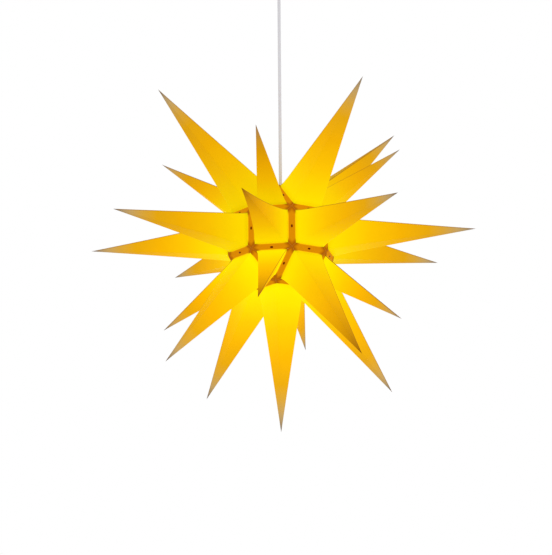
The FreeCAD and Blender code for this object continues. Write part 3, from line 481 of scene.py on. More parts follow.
def liesOutside(out, band):
    # top and right flaps lie on their neighbours' flaps
    side = Vector((0, 0, 1)).cross(out)
    if side.length < same:
        return True
    toward = band - out * band.dot(out)
    across = toward.dot(side)
    return across > 0 if abs(across) > slight else toward.z > 0


def neighbourFoot(out, shared):
    # the two foot corners of the face on the other side of a shared edge
    for other, corners in ballFaces:
        held = [c for c in corners if min((c - s).length for s in shared) < same]
        if len(held) == 2 and other.angle(out) > slight:
            foot = footOf(other, corners)[0]
            return sorted(foot, key=lambda c: min((c - s).length for s in shared))[:2]


def flapRows(out, ends, shared):
    # the flap on one edge of a foot: its frame, and its half length row by row
    band = ((shared[0] + shared[1]) / 2).normalized()
    along = (shared[1] - shared[0]).normalized()
    over = along.cross(band)
    if over.dot(out) > 0:
        over = -over
    own = abs(ends[0].dot(along))
    middle = (shared[1] - shared[0]).length / 2 * jointLevel / ((shared[0] + shared[1]) / 2).length
    far = neighbourFoot(out, shared)
    farOver = far[0].dot(over)
    farAlong = abs(far[0].dot(along))
    stop = farOver - star["flapEndGap"]
    stopAlong = middle + (farAlong - middle) * stop / farOver
    start = ends[0].dot(over)
    back = start - star["paper"] * star["flapBack"]
    marks = [(back, own), (start, own), (0, middle), (stop, stopAlong)]
    rows = [marks[0]]
    for (u, v), (nextU, nextV) in zip(marks[1:], marks[2:]):
        for share in star["flapRows"]:
            rows.append((u + (nextU - u) * share, v + (nextV - v) * share))
    rows.append(marks[-1])
    low = star["layerGap"] / 2 if liesOutside(out, band) else -star["layerGap"] / 2 - star["paper"]
    return band, along, over, band * (jointLevel + low), rows


def flapSheets(out, corners):
    # all flaps of one point as flat sheets, with the distances that the paper's finish reads
    foot = footOf(out, corners)[0]
    spots, faces, foldGap, endGap, freeGap = [], [], [], [], []
    columns = star["flapColumns"]
    for i in range(len(foot)):
        j = (i + 1) % len(foot)
        band, along, over, base, rows = flapRows(out, [foot[i], foot[j]], [corners[i], corners[j]])
        first = len(spots)
        for u, half in rows:
            half -= star["mitreGap"] / 2
            for share in columns:
                spots.append(star["middle"] + base + over * u + along * (half * share))
                foldGap.append(u - rows[1][0])
                endGap.append(half * (1 - abs(share)))
                freeGap.append(rows[-1][0] - u)
        wide = len(columns)
        upright = along.cross(over).dot(band) < 0
        for row in range(len(rows) - 1):
            for column in range(wide - 1):
                a = first + row * wide + column
                ring = [a, a + 1, a + wide + 1, a + wide]
                faces.append(ring[::-1] if upright else ring)
    mesh = bpy.data.meshes.new("flapSheets")
    mesh.from_pydata(spots, [], faces)
    gaps = {"foldGap": foldGap, "endGap": endGap, "freeGap": freeGap, "flapMark": [1.0] * len(spots)}
    for name, values in gaps.items():
        mesh.attributes.new(name, "FLOAT", "POINT").data.foreach_set("value", values)
    return mesh


pointForm = {
    "creaseNudge": 0.0001,  # a column on a crease counts to the wall before it
    "columnCrowding": 0.82,  # 0 spreads the columns evenly, 1 draws them to the creases
    "rowCrowding": 1.3,  # above 1 the rows stand closer at the foot
    "roundFrom": 0.6,  # where the rounding begins, from a wall's middle out to its crease
    "roundFade": 4.0,  # how fast the rounding fades on the way to the tip
    "roundLeft": 0.08,  # the share of it that stays at the tip
    "footSharp": 30.0,  # how close to the foot the crease is sharp again
    "roundPower": 2.0,  # how far the rounding gathers at the crease
    "roundCut": 0.5,
    "waistPower": 2.0,  # how the creases' bow is spread along the point
    "weld": 0.00001,  # points nearer to each other than this become one
}


def paperPointTree(star, form):
    tree, given, out = newTree(
        "foldedPaperPoint",
        "GeometryNodeTree",
        [
            ("Flaps", "NodeSocketGeometry", None),
            ("Sides", "NodeSocketInt", None),
            ("Columns", "NodeSocketInt", star["columns"]),
            ("Rows", "NodeSocketInt", star["rows"]),
            ("Foot Middle", "NodeSocketVector", None),
            ("First Corner", "NodeSocketVector", None),
            ("Face Direction", "NodeSocketVector", None),
            ("Tip", "NodeSocketVector", None),
            ("Paper", "NodeSocketFloat", star["paper"]),
            ("Apothem", "NodeSocketFloat", None),
            ("Wall Bow", "NodeSocketFloat", star["wallBow"]),
            ("Edge Bow", "NodeSocketFloat", star["edgeBow"]),
            ("Corner Round", "NodeSocketFloat", star["cornerRound"]),
            ("Seam", "NodeSocketInt", None),
            ("Seam Dark", "NodeSocketFloat", star["seamDark"]),
            ("Glow", "NodeSocketFloat", None),
            ("Brown Tip Shade", "NodeSocketFloat", None),
            ("Top Shade", "NodeSocketFloat", star["topShade"]),
            ("Finish", "NodeSocketMaterial", None),
        ],
        [("Point", "NodeSocketGeometry")],
    )

    def calc(operation, *values):
        return sums(tree, operation, *values)

    def fromOne(value):
        return calc("SUBTRACT", 1.0, value)

    def welded(shape):
        node = addNode(tree, "GeometryNodeMergeByDistance")
        feed(tree, node.inputs["Geometry"], shape)
        feed(tree, node.inputs["Distance"], form["weld"])
        return node.outputs["Geometry"]

    grid = addNode(tree, "GeometryNodeMeshGrid")
    feed(tree, grid.inputs["Size X"], 1.0)
    feed(tree, grid.inputs["Size Y"], 1.0)
    around = calc("MULTIPLY", given["Sides"], given["Columns"])
    feed(tree, grid.inputs["Vertices X"], calc("ADD", around, 1.0))
    feed(tree, grid.inputs["Vertices Y"], calc("MULTIPLY", given["Rows"], 2.0))
    keep = addNode(tree, "GeometryNodeStoreNamedAttribute", data_type="FLOAT_VECTOR", domain="POINT")
    feed(tree, keep.inputs["Geometry"], grid.outputs["Mesh"])
    feed(tree, keep.inputs["Name"], "sheetPlace")
    feed(tree, keep.inputs["Value"], grid.outputs["UV Map"])
    place = addNode(tree, "GeometryNodeInputNamedAttribute", data_type="FLOAT_VECTOR")
    feed(tree, place.inputs["Name"], "sheetPlace")
    parts = addNode(tree, "ShaderNodeSeparateXYZ")
    tree.links.new(place.outputs["Attribute"], parts.inputs[0])

    # which wall, and where across it: columns crowd towards the creases
    turnAt = calc("MULTIPLY", parts.outputs["X"], given["Sides"])
    side = calc("FLOOR", calc("SUBTRACT", turnAt, form["creaseNudge"]))
    side = calc("MAXIMUM", side, 0.0)
    plain = calc("SUBTRACT", turnAt, side)
    wave = calc("SINE", calc("MULTIPLY", plain, 2 * math.pi))
    wave = calc("MULTIPLY", wave, form["columnCrowding"] / (2 * math.pi))
    across = calc("SUBTRACT", plain, wave)

    # rows run from the inner tip down to the foot and up again to the outer tip
    level = calc("SUBTRACT", calc("MULTIPLY", parts.outputs["Y"], 2.0), 1.0)
    isOuter = calc("GREATER_THAN", level, 0.0)
    steps = calc("SUBTRACT", calc("MULTIPLY", given["Rows"], 2.0), 1.0)
    gap = calc("DIVIDE", 1.0, steps)
    climb = calc("SUBTRACT", calc("ABSOLUTE", level), gap)
    share = calc("DIVIDE", climb, fromOne(gap))
    rise = calc("POWER", calc("MAXIMUM", share, 0.0), form["rowCrowding"])
    left = fromOne(rise)

    # the inner wall is the outer one, smaller by the paper's thickness
    thin = fromOne(calc("DIVIDE", given["Paper"], given["Apothem"]))
    shrink = calc("ADD", thin, calc("MULTIPLY", isOuter, fromOne(thin)))
    step = calc("DIVIDE", 2 * math.pi, given["Sides"])

    def cornerAt(number):
        turn = addNode(tree, "ShaderNodeVectorRotate", rotation_type="AXIS_ANGLE")
        feed(tree, turn.inputs["Vector"], given["First Corner"])
        feed(tree, turn.inputs["Axis"], given["Face Direction"])
        feed(tree, turn.inputs["Angle"], calc("MULTIPLY", number, step))
        return turn.outputs["Vector"]

    here = cornerAt(side)
    there = cornerAt(calc("ADD", side, 1.0))
    edge = vectors(tree, "SUBTRACT", there, here)
    onEdge = vectors(tree, "ADD", here, scaled(tree, edge, across))

    # the crease is soft low on the point, sharp at the foot itself and nearly sharp at the tip
    cornerReach = vectors(tree, "LENGTH", given["First Corner"])
    reach = calc("DIVIDE", vectors(tree, "LENGTH", onEdge), cornerReach)
    inner = calc("COSINE", calc("DIVIDE", step, 2.0))
    begin = calc("MULTIPLY", fromOne(inner), form["roundFrom"])
    begin = calc("ADD", inner, begin)
    width = fromOne(begin)
    near = calc("DIVIDE", calc("SUBTRACT", reach, begin), width)
    near = calc("MAXIMUM", near, 0.0)
    soft = calc("MULTIPLY", calc("POWER", left, form["roundFade"]), given["Corner Round"])
    soft = calc("ADD", soft, form["roundLeft"])
    aboveFoot = fromOne(calc("POWER", left, form["footSharp"]))
    soft = calc("MULTIPLY", soft, aboveFoot)
    depth = calc("MULTIPLY", calc("POWER", near, form["roundPower"]), form["roundCut"])
    cut = calc("MULTIPLY", calc("MULTIPLY", soft, width), depth)
    rounded = calc("DIVIDE", calc("SUBTRACT", reach, cut), reach)

    # walls sink a little between the creases, and the creases bow in along the point
    hollow = calc("SINE", calc("MULTIPLY", across, math.pi))
    sink = calc("MULTIPLY", hollow, calc("SINE", calc("MULTIPLY", rise, math.pi)))
    sunk = fromOne(calc("MULTIPLY", sink, given["Wall Bow"]))
    waist = fromOne(calc("POWER", left, form["waistPower"]))
    bowed = fromOne(calc("MULTIPLY", waist, given["Edge Bow"]))
    narrow = calc("MULTIPLY", calc("MULTIPLY", left, bowed), shrink)
    size = calc("MULTIPLY", calc("MULTIPLY", rounded, sunk), narrow)
    whole = vectors(tree, "SUBTRACT", given["Tip"], given["Foot Middle"])
    axis = scaled(tree, whole, calc("MULTIPLY", rise, shrink))
    spot = vectors(tree, "ADD", axis, scaled(tree, onEdge, size))
    spot = vectors(tree, "ADD", given["Foot Middle"], spot)

    # how far each wall looks up, for its painted shade, and how far each place is from the glued crease
    wallWay = vectors(tree, "NORMALIZE", vectors(tree, "ADD", here, there))
    wallUp = calc("MAXIMUM", vectors(tree, "DOT_PRODUCT", wallWay, (0, 0, 1)), 0.0)
    fromSeam = calc("SUBTRACT", calc("ADD", side, across), given["Seam"])
    fromSeam = calc("ABSOLUTE", fromSeam)
    fromSeam = calc("MINIMUM", fromSeam, calc("SUBTRACT", given["Sides"], fromSeam))
    seamGap = calc("MULTIPLY", fromSeam, left)
    seamGap = calc("MULTIPLY", seamGap, vectors(tree, "LENGTH", edge))

    # what the paper's finish reads, the painted shade on walls that look up and at the tips among it
    shape = keep.outputs["Geometry"]
    kept = {
        "rise": rise,
        "paintedTopShade": calc("MULTIPLY", wallUp, given["Top Shade"]),
        "seamGap": seamGap,
        "seamDark": given["Seam Dark"],
        "glow": given["Glow"],
        "brownTipShade": given["Brown Tip Shade"],
    }
    for name, value in kept.items():
        store = addNode(tree, "GeometryNodeStoreNamedAttribute", data_type="FLOAT", domain="POINT")
        feed(tree, store.inputs["Geometry"], shape)
        feed(tree, store.inputs["Name"], name)
        feed(tree, store.inputs["Value"], value)
        shape = store.outputs["Geometry"]
    move = addNode(tree, "GeometryNodeSetPosition")
    feed(tree, move.inputs["Geometry"], shape)
    feed(tree, move.inputs["Position"], spot)
    walls = smoothed(tree, welded(move.outputs["Geometry"]))

    # the flaps get their thickness
    lift = addNode(tree, "GeometryNodeExtrudeMesh", mode="FACES")
    feed(tree, lift.inputs["Mesh"], given["Flaps"])
    feed(tree, lift.inputs["Offset Scale"], given["Paper"])
    feed(tree, lift.inputs["Individual"], False)
    under = addNode(tree, "GeometryNodeFlipFaces")
    feed(tree, under.inputs["Mesh"], given["Flaps"])
    flaps = welded(joined(tree, lift.outputs["Mesh"], under.outputs["Mesh"]))
    tree.links.new(painted(tree, joined(tree, walls, flaps), given["Finish"]), out["Point"])
    return tree


paperLook = {
    # painted shade: a wall's base colour darkens and turns grey-brown along its rise to the tip, where
    # less of the bulb's light comes through
    "wallTipShadedBase": [
        (0.0, (0.6, 0.3, 0.0)),
        (0.5, (0.56, 0.26, 0.0)),
        (0.68, (0.55, 0.27, 0.004)),
        (0.78, (0.53, 0.3, 0.042)),
        (0.88, (0.47, 0.325, 0.13)),
        (0.95, (0.36, 0.27, 0.16)),
        (1.0, (0.22, 0.18, 0.15)),
    ],
    "wallGlow": [
        (0.0, (0.5, 0.55, 0.0)),
        (0.14, (0.46, 0.44, 0.0)),
        (0.3, (0.44, 0.31, 0.0)),
        (0.5, (0.38, 0.21, 0.0)),
        (0.72, (0.24, 0.118, 0.0)),
        (0.88, (0.1, 0.045, 0.0)),
        (1.0, (0.0, 0.0, 0.0)),
    ],
    # painted shade: the brown that the listed points' tips darken to
    "brownTipShadedBase": [
        (0.0, (0.6, 0.3, 0.0)),
        (0.5, (0.56, 0.26, 0.0)),
        (0.8, (0.48, 0.21, 0.0)),
        (1.0, (0.34, 0.13, 0.004)),
    ],
    "seamBase": (0.3, 0.12, 0.01),
    # painted shade: a band of two paper layers is darker than a wall, and its corners, where more
    # layers lie, darker still
    "flapShadedBase": (0.42, 0.14, 0.0),
    "flapGlow": (0.31, 0.13, 0.0),
    "cornerShadedBase": (0.36, 0.085, 0.0),
    # painted light: a flap is lighter along its fold and, less so, along its free edge
    "foldLitBase": (0.62, 0.3, 0.003),
    "foldGlow": (0.46, 0.34, 0.0),
    # painted light: thin light lines where the flaps' slanted ends meet, light leaking through the gap
    "mitreLeakLight": (0.75, 0.38, 0.06),
    "fades": {  # metres from an edge: full up to the first, gone at the second
        "seam": (0.0004, 0.0018),
        "corner": (0.001, 0.010),
        "fold": (0.0002, 0.0016),
        "free": (0.0, 0.0012),
        "mitre": (0.0001, 0.0006),
    },
    "freeShare": 0.5,  # painted light on a flap's free edge, against that on its fold
    "mitreShare": 0.35,
    "cornerGlow": 0.25,  # a flap's corners against its middle
    "grainScale": 900,
    "grainShade": 0.06,
    "shine": 0.03,
    "roughness": 0.75,
    "bumpStrength": 0.5,
    "bumpDepth": 0.0001,
}


def rampOf(tree, value, stops):
    ramp = addNode(tree, "ShaderNodeValToRGB")
    marks = ramp.color_ramp.elements
    while len(marks) < len(stops):
        marks.new(0.5)
    for mark, (position, color) in zip(marks, stops):
        mark.position = position
        mark.color = (*color, 1)
    feed(tree, ramp.inputs["Fac"], value)
    return ramp.outputs["Color"]


def mixOf(tree, share, first, second):
    # two colours, each a socket or three plain numbers
    mix = addNode(tree, "ShaderNodeMix", data_type="RGBA")
    feed(tree, mix.inputs["Factor"], share)
    for key, color in (("A_Color", first), ("B_Color", second)):
        isSocket = isinstance(color, bpy.types.NodeSocket)
        feed(tree, socketOf(mix.inputs, key), color if isSocket else (*color, 1))
    return socketOf(mix.outputs, "Result_Color")


def fadeOf(tree, value, near, far):
    # 1 below near, 0 above far
    node = addNode(tree, "ShaderNodeMapRange", interpolation_type="SMOOTHSTEP")
    feed(tree, node.inputs["Value"], value)
    feed(tree, node.inputs["From Min"], near)
    feed(tree, node.inputs["From Max"], far)
    feed(tree, node.inputs["To Min"], 1.0)
    feed(tree, node.inputs["To Max"], 0.0)
    return node.outputs["Result"]


def paperMaterial(look):
    material, tree, shader = newMaterial("starPaper")
    fades = look["fades"]

    def read(name):
        return addNode(tree, "ShaderNodeAttribute", attribute_name=name).outputs["Fac"]

    rise, flap, paintedTopShade = read("rise"), read("flapMark"), read("paintedTopShade")
    grain = addNode(tree, "ShaderNodeGroup", node_tree=fineGrain)
    grain.inputs["Scale"].default_value = look["grainScale"]
    grain.inputs["Shade"].default_value = look["grainShade"]

    # painted shade: the walls darken towards their tips
    paleTipShaded = rampOf(tree, rise, look["wallTipShadedBase"])
    # painted shade: on the listed points the tips darken to brown instead
    brownTipShaded = rampOf(tree, rise, look["brownTipShadedBase"])
    wall = mixOf(tree, read("brownTipShade"), paleTipShaded, brownTipShaded)
    # painted shade on walls that look up
    wall = scaled(tree, wall, sums(tree, "SUBTRACT", 1.0, paintedTopShade))
    seam = sums(tree, "MULTIPLY", fadeOf(tree, read("seamGap"), *fades["seam"]), read("seamDark"))
    wall = mixOf(tree, seam, wall, look["seamBase"])

    corner = fadeOf(tree, read("endGap"), *fades["corner"])
    fold = fadeOf(tree, read("foldGap"), *fades["fold"])
    free = sums(tree, "MULTIPLY", fadeOf(tree, read("freeGap"), *fades["free"]), look["freeShare"])
    fold = sums(tree, "MAXIMUM", fold, free)
    fold = sums(tree, "MULTIPLY", fold, sums(tree, "SUBTRACT", 1.0, corner))
    mitre = sums(tree, "MULTIPLY", fadeOf(tree, read("endGap"), *fades["mitre"]), look["mitreShare"])
    # painted shade: the band darker than a wall, darkest at its corners
    band = mixOf(tree, corner, look["flapShadedBase"], look["cornerShadedBase"])
    # painted light along the fold and the free edge
    band = mixOf(tree, fold, band, look["foldLitBase"])
    # painted light leaking through the gaps at the flaps' slanted ends
    band = mixOf(tree, mitre, band, look["mitreLeakLight"])
    color = mixOf(tree, flap, wall, band)
    color = scaled(tree, color, grain.outputs["Tone"])
    tree.links.new(color, shader.inputs["Base Color"])

    glow = rampOf(tree, rise, look["wallGlow"])
    bare = sums(tree, "SUBTRACT", 1.0, seam)
    # the painted top shade and the glued crease dim the glow as well
    dim = sums(tree, "MULTIPLY", sums(tree, "SUBTRACT", 1.0, paintedTopShade), bare)
    glow = scaled(tree, scaled(tree, glow, read("glow")), dim)
    cornerGlow = tuple(part * look["cornerGlow"] for part in look["flapGlow"])
    bandGlow = mixOf(tree, corner, look["flapGlow"], cornerGlow)
    bandGlow = mixOf(tree, fold, bandGlow, look["foldGlow"])
    light = mixOf(tree, flap, glow, bandGlow)
    tree.links.new(scaled(tree, light, grain.outputs["Tone"]), shader.inputs["Emission Color"])
    shader.inputs["Emission Strength"].default_value = 1.0

    shader.inputs["Specular IOR Level"].default_value = look["shine"]
    shader.inputs["Roughness"].default_value = look["roughness"]
    roughen(tree, shader, grain, look["bumpStrength"], look["bumpDepth"])
    return material


def pointOn(out):
    # which node stands on a ball face, and how far it reaches
    azimuth = math.degrees(math.atan2(out.y, out.x)) % 360
    if abs(out.z) < slight:
        return f"belt_point_{round(azimuth / 45) + 1}", star["bigReach"]
    if out.z < slight - 1:
        return "bottom_point", star["bigReach"]
    where = "upper" if out.z > 0 else "lower"
    if abs(abs(out.z) - math.sqrt(0.5)) < slight:
        return f"{where}_point_{round(azimuth / 90) + 1}", star["bigReach"]
    return f"small_{where}_point_{round((azimuth - 45) / 90) + 1}", star["smallReach"]


def tipOf(node, out):
    # the way to a tip: let down with its ring, and a little off as hand folding leaves it
    side = Vector((0, 0, 1)).cross(out)
    if side.length < same:
        return out + star["bottomTipOff"] / star["bigReach"]
    turn, rise = star["tipsOff"].get(node, (0, 0))
    lean = star["leans"].get(node.rsplit("_", 1)[0], 0) - rise
    lowered = Matrix.Rotation(math.radians(lean), 3, side) @ out
    return Matrix.Rotation(math.radians(turn), 3, "Z") @ lowered


def buildStar(star):
    tree = paperPointTree(star, pointForm)
    paper = paperMaterial(paperLook)
    for out, corners in ballFaces:
        if out.z > 1 - slight:  # the top face is open
            continue
        node, reach = pointOn(out)
        ring = node.rsplit("_", 1)[0]
        foot, apothem = footOf(out, corners)
        middle = sum(foot, Vector()) / len(foot)
        tip = tipOf(node, out) * reach
        glued = star["seamSides"].get(node, star["seamSide"])
        seam = max(range(len(foot)), key=lambda i: (foot[i] - middle).dot(glued))
        name = "".join(word.capitalize() if i else word for i, word in enumerate(node.split("_")))
        piece = madeByTree(
            name,
            flapSheets(out, corners),
            tree,
            {
                "Sides": len(corners),
                "Columns": star["columns"],
                "Rows": star["rows"],
                "Foot Middle": star["middle"] + middle,
                "First Corner": foot[0] - middle,
                "Face Direction": out,
                "Tip": star["middle"] + tip,
                "Paper": star["paper"],
                "Apothem": apothem,
                "Wall Bow": star["wallBow"],
                "Edge Bow": star["edgeBows"].get(node, star["edgeBow"]),
                "Corner Round": star["cornerRound"],
                "Seam": seam,
                "Seam Dark": star["seamDarks"].get(node, star["seamDark"]),
                "Glow": star["glows"].get(node, star["glows"].get(ring, 1.0)),
                "Brown Tip Shade": star["brownTipShades"].get(node, 0.0),
                "Top Shade": star["topShades"].get(node, star["topShade"]),
                "Finish": paper,
            },
        )
        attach(piece, "star")
        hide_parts(node)


buildStar(star)
print("paper star folded")


pin = {  # sizes in metres, as in part.py, but for the head: an oval dome here, a round cone there
    "headRadius": 0.0025,
    "headWidth": 0.56,  # across the flap, as a share of its length
    "headRise": 0.0009,
    "headSegments": 20,
    "headRings": 10,
    "legLength": 0.009,
    "legWidth": 0.0022,
    "legThick": 0.0005,
    "barThick": 0.001,
    "topWithin": 30,  # degrees from straight up that the open top's own edges keep within
}


def pinPlaces(pin):
    # one place for each joint between two faces; of the four round the open top, only the bar's two
    found = []
    for out, corners in ballFaces:
        for i, corner in enumerate(corners):
            after = corners[(i + 1) % len(corners)]
            band = ((corner + after) / 2).normalized()
            if all(band.angle(other[0]) > slight for other in found):
                atTop = band.z > math.cos(math.radians(pin["topWithin"]))
                found.append((band, (after - corner).normalized(), atTop))
    return [(band, along, atTop) for band, along, atTop in found if not atTop or abs(band.x) > slight]


def pinTree(pin):
    tree, given, out = newTree(
        "splitPins",
        "GeometryNodeTree",
        [
            ("Places", "NodeSocketGeometry", None),
            ("Head Radius", "NodeSocketFloat", pin["headRadius"]),
            ("Head Width", "NodeSocketFloat", pin["headWidth"]),
            ("Head Rise", "NodeSocketFloat", pin["headRise"]),
            ("Leg Length", "NodeSocketFloat", pin["legLength"]),
            ("Leg Width", "NodeSocketFloat", pin["legWidth"]),
            ("Leg Thick", "NodeSocketFloat", pin["legThick"]),
            ("Finish", "NodeSocketMaterial", None),
        ],
        [("Pins", "NodeSocketGeometry")],
    )

    def read(name, kind):
        node = addNode(tree, "GeometryNodeInputNamedAttribute", data_type=kind)
        feed(tree, node.inputs["Name"], name)
        return node.outputs["Attribute"]

    band = read("pinOut", "FLOAT_VECTOR")
    along = read("pinAlong", "FLOAT_VECTOR")
    grip = read("pinGrip", "FLOAT")
    upright = addNode(tree, "FunctionNodeAxesToRotation", primary_axis="Z", secondary_axis="Y")
    feed(tree, upright.inputs["Primary Axis"], band)
    feed(tree, upright.inputs["Secondary Axis"], along)

    # the head is a ball whose lower half is pressed flat
    ball = addNode(tree, "GeometryNodeMeshUVSphere")
    feed(tree, ball.inputs["Segments"], pin["headSegments"])
    feed(tree, ball.inputs["Rings"], pin["headRings"])
    feed(tree, ball.inputs["Radius"], given["Head Radius"])
    place = addNode(tree, "ShaderNodeSeparateXYZ")
    tree.links.new(addNode(tree, "GeometryNodeInputPosition").outputs[0], place.inputs[0])
    squash = sums(tree, "DIVIDE", given["Head Rise"], given["Head Radius"])
    height = sums(tree, "MULTIPLY", sums(tree, "MAXIMUM", place.outputs["Z"], 0.0), squash)
    flat = addNode(tree, "ShaderNodeCombineXYZ")
    tree.links.new(sums(tree, "MULTIPLY", place.outputs["X"], given["Head Width"]), flat.inputs["X"])
    tree.links.new(place.outputs["Y"], flat.inputs["Y"])
    tree.links.new(height, flat.inputs["Z"])
    dome = addNode(tree, "GeometryNodeSetPosition")
    feed(tree, dome.inputs["Geometry"], ball.outputs["Mesh"])
    feed(tree, dome.inputs["Position"], flat.outputs[0])
    head = smoothed(tree, dome.outputs["Geometry"])

    def blade(x, y, z, shiftY, shiftZ):
        box = addNode(tree, "GeometryNodeMeshCube")
        sizes = addNode(tree, "ShaderNodeCombineXYZ")
        for key, value in zip("XYZ", (x, y, z)):
            feed(tree, sizes.inputs[key], value)
        tree.links.new(sizes.outputs[0], box.inputs["Size"])
        shift = addNode(tree, "ShaderNodeCombineXYZ")
        feed(tree, shift.inputs["Y"], shiftY)
        feed(tree, shift.inputs["Z"], shiftZ)
        moved = addNode(tree, "GeometryNodeTransform")
        tree.links.new(box.outputs["Mesh"], moved.inputs["Geometry"])
        tree.links.new(shift.outputs[0], moved.inputs["Translation"])
        return moved.outputs["Geometry"]

    # the shank is both legs side by side and a metre deep, which each pin's grip scales down
    thick, width, length = given["Leg Thick"], given["Leg Width"], given["Leg Length"]
    shank = blade(width, sums(tree, "MULTIPLY", thick, 2.0), 1.0, 0.0, -0.5)
    legShift = sums(tree, "DIVIDE", length, 2.0)
    lowShift = sums(tree, "DIVIDE", thick, -2.0)
    leg = blade(width, length, thick, legShift, lowShift)
    otherLeg = blade(width, length, thick, sums(tree, "MULTIPLY", legShift, -1.0), lowShift)

    # heads and shanks stand on the outer flap, legs lie under the lowest layer
    lowered = scaled(tree, band, sums(tree, "MULTIPLY", grip, -1.0))
    sized = addNode(tree, "ShaderNodeCombineXYZ")
    feed(tree, sized.inputs["X"], 1.0)
    feed(tree, sized.inputs["Y"], 1.0)
    feed(tree, sized.inputs["Z"], grip)
    down = addNode(tree, "GeometryNodeSetPosition")
    tree.links.new(given["Places"], down.inputs["Geometry"])
    tree.links.new(lowered, down.inputs["Offset"])
    pieces = []
    for places, shape, size in (
        (given["Places"], head, None),
        (given["Places"], shank, sized.outputs[0]),
        (down.outputs["Geometry"], joined(tree, leg, otherLeg), None),
    ):
        put = addNode(tree, "GeometryNodeInstanceOnPoints")
        tree.links.new(places, put.inputs["Points"])
        tree.links.new(shape, put.inputs["Instance"])
        tree.links.new(upright.outputs["Rotation"], put.inputs["Rotation"])
        if size:
            tree.links.new(size, put.inputs["Scale"])
        pieces.append(put.outputs["Instances"])
    tree.links.new(painted(tree, joined(tree, *pieces), given["Finish"]), out["Pins"])
    return tree


def buildPins(pin):
    places = pinPlaces(pin)
    top = jointLevel + star["layerGap"] + star["paper"]
    mesh = bpy.data.meshes.new("pinPlaces")
    mesh.from_pydata([star["middle"] + band * top for band, along, atTop in places], [], [])
    outs = [value for band, along, atTop in places for value in band]
    alongs = [value for band, along, atTop in places for value in along]
    # a pin grips two flaps, and at the open top one flap and the hanger bar
    flat = 2 * star["paper"] + 2 * star["layerGap"]
    deep = star["paper"] + pin["barThick"] + 2 * star["layerGap"]
    grips = [deep if atTop else flat for band, along, atTop in places]
    mesh.attributes.new("pinOut", "FLOAT_VECTOR", "POINT").data.foreach_set("vector", outs)
    mesh.attributes.new("pinAlong", "FLOAT_VECTOR", "POINT").data.foreach_set("vector", alongs)
    mesh.attributes.new("pinGrip", "FLOAT", "POINT").data.foreach_set("value", grips)
    # partly aged brass and partly painted shade: the heads are far darker than brass, as they look
    # against the lit paper
    brass = metal(
        "darkBrassAndShade", (0.13, 0.008, 0.001), 0.3, 1500, shade=0.5, bump=0.00004, roughSwing=0.2
    )
    piece = madeByTree(
        "splitPins",
        mesh,
        pinTree(pin),
        {
            "Head Radius": pin["headRadius"],
            "Head Width": pin["headWidth"],
            "Head Rise": pin["headRise"],
            "Leg Length": pin["legLength"],
            "Leg Width": pin["legWidth"],
            "Leg Thick": pin["legThick"],
            "Finish": brass,
        },
    )
    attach(piece, "star")
    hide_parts("split_pins")
    print("pins:", len(places))


buildPins(pin)


studio = {
    "floorHeight": -2.6,
    "floorSize": 40,
    "floorColor": (0.88, 0.88, 0.88, 1),
    "floorRoughness": 0.8,
    "fadeFrom": 1.5,  # the floor melts into the white surroundings between these distances
    "fadeTo": 6.0,
    "white": 1.0,
    "ambient": 0.97,
    "lampsAim": Vector((0, 0, -0.45)),
    "lamps": {  # where, how wide in metres and how many watts
        "frontLamp": ((-1.2, -3.0, -0.5), 2.4, 7),
        "rightLamp": ((2.6, -1.4, -0.4), 2.0, 4),
        "backLamp": ((0.8, 3.0, -0.2), 2.2, 4),
    },
}


def paleToCamera(tree, shown, lighting):
    # white where it is seen, in a mirror or through glass too; a plain level as light
    rays = addNode(tree, "ShaderNodeLightPath")
    seen = sums(tree, "ADD", rays.outputs["Is Camera Ray"], rays.outputs["Is Glossy Ray"])
    seen = sums(tree, "MINIMUM", sums(tree, "ADD", seen, rays.outputs["Is Transmission Ray"]), 1.0)
    mix = addNode(tree, "ShaderNodeMixShader")
    tree.links.new(seen, mix.inputs[0])
    tree.links.new(lighting, mix.inputs[1])
    tree.links.new(shown, mix.inputs[2])
    return mix.outputs[0]


def lightWorld(studio):
    world = bpy.data.worlds.new("studio")
    bpy.context.scene.world = world
    world.use_nodes = True
    tree = world.node_tree
    tree.nodes.clear()
    shown = addNode(tree, "ShaderNodeBackground")
    shown.inputs["Strength"].default_value = studio["white"]
    light = addNode(tree, "ShaderNodeBackground")
    light.inputs["Strength"].default_value = studio["ambient"]
    for node in (shown, light):
        node.inputs["Color"].default_value = (1, 1, 1, 1)
    end = addNode(tree, "ShaderNodeOutputWorld")
    tree.links.new(paleToCamera(tree, shown.outputs[0], light.outputs[0]), end.inputs["Surface"])


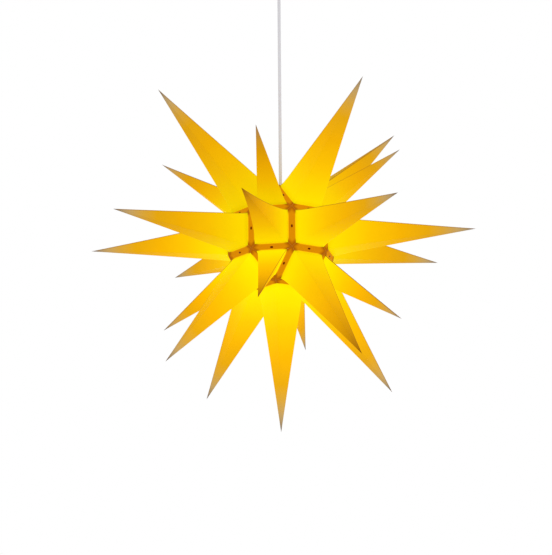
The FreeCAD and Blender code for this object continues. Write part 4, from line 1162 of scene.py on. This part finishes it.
def floorMaterial(studio):
    material, tree, shader = newMaterial("paleFloor")
    shader.inputs["Base Color"].default_value = studio["floorColor"]
    shader.inputs["Roughness"].default_value = studio["floorRoughness"]
    place = addNode(tree, "ShaderNodeTexCoord").outputs["Object"]
    place = vectors(tree, "MULTIPLY", place, (1, 1, 0))
    near = fadeOf(tree, vectors(tree, "LENGTH", place), studio["fadeFrom"], studio["fadeTo"])
    bright = addNode(tree, "ShaderNodeEmission")
    bright.inputs["Strength"].default_value = studio["white"]
    faded = addNode(tree, "ShaderNodeMixShader")
    tree.links.new(near, faded.inputs[0])
    tree.links.new(bright.outputs[0], faded.inputs[1])
    tree.links.new(shader.outputs[0], faded.inputs[2])
    below = addNode(tree, "ShaderNodeMixShader")  # a look from under the floor goes through it
    tree.links.new(addNode(tree, "ShaderNodeNewGeometry").outputs["Backfacing"], below.inputs[0])
    tree.links.new(paleToCamera(tree, faded.outputs[0], shader.outputs[0]), below.inputs[1])
    tree.links.new(addNode(tree, "ShaderNodeBsdfTransparent").outputs[0], below.inputs[2])
    tree.links.new(below.outputs[0], tree.nodes["Material Output"].inputs["Surface"])
    return material


def layFloor(studio):
    half = studio["floorSize"] / 2
    z = studio["floorHeight"]
    corners = [(-half, -half, z), (half, -half, z), (half, half, z), (-half, half, z)]
    mesh = bpy.data.meshes.new("floor")
    mesh.from_pydata(corners, [], [(0, 1, 2, 3)])
    mesh.materials.append(floorMaterial(studio))
    floor = bpy.data.objects.new("floor", mesh)
    bpy.context.scene.collection.objects.link(floor)


def hangLamps(studio):
    for name, (place, size, power) in studio["lamps"].items():
        lamp = bpy.data.lights.new(name, "AREA")
        lamp.size = size
        lamp.energy = power
        holder = bpy.data.objects.new(name, lamp)
        spot = Vector(place)
        turn = (studio["lampsAim"] - spot).to_track_quat("-Z", "Y").to_matrix().to_4x4()
        holder.matrix_world = Matrix.Translation(spot) @ turn
        bpy.context.scene.collection.objects.link(holder)


lightWorld(studio)
layFloor(studio)
hangLamps(studio)
bpy.context.scene.view_settings.view_transform = "Standard"
print("studio lit")
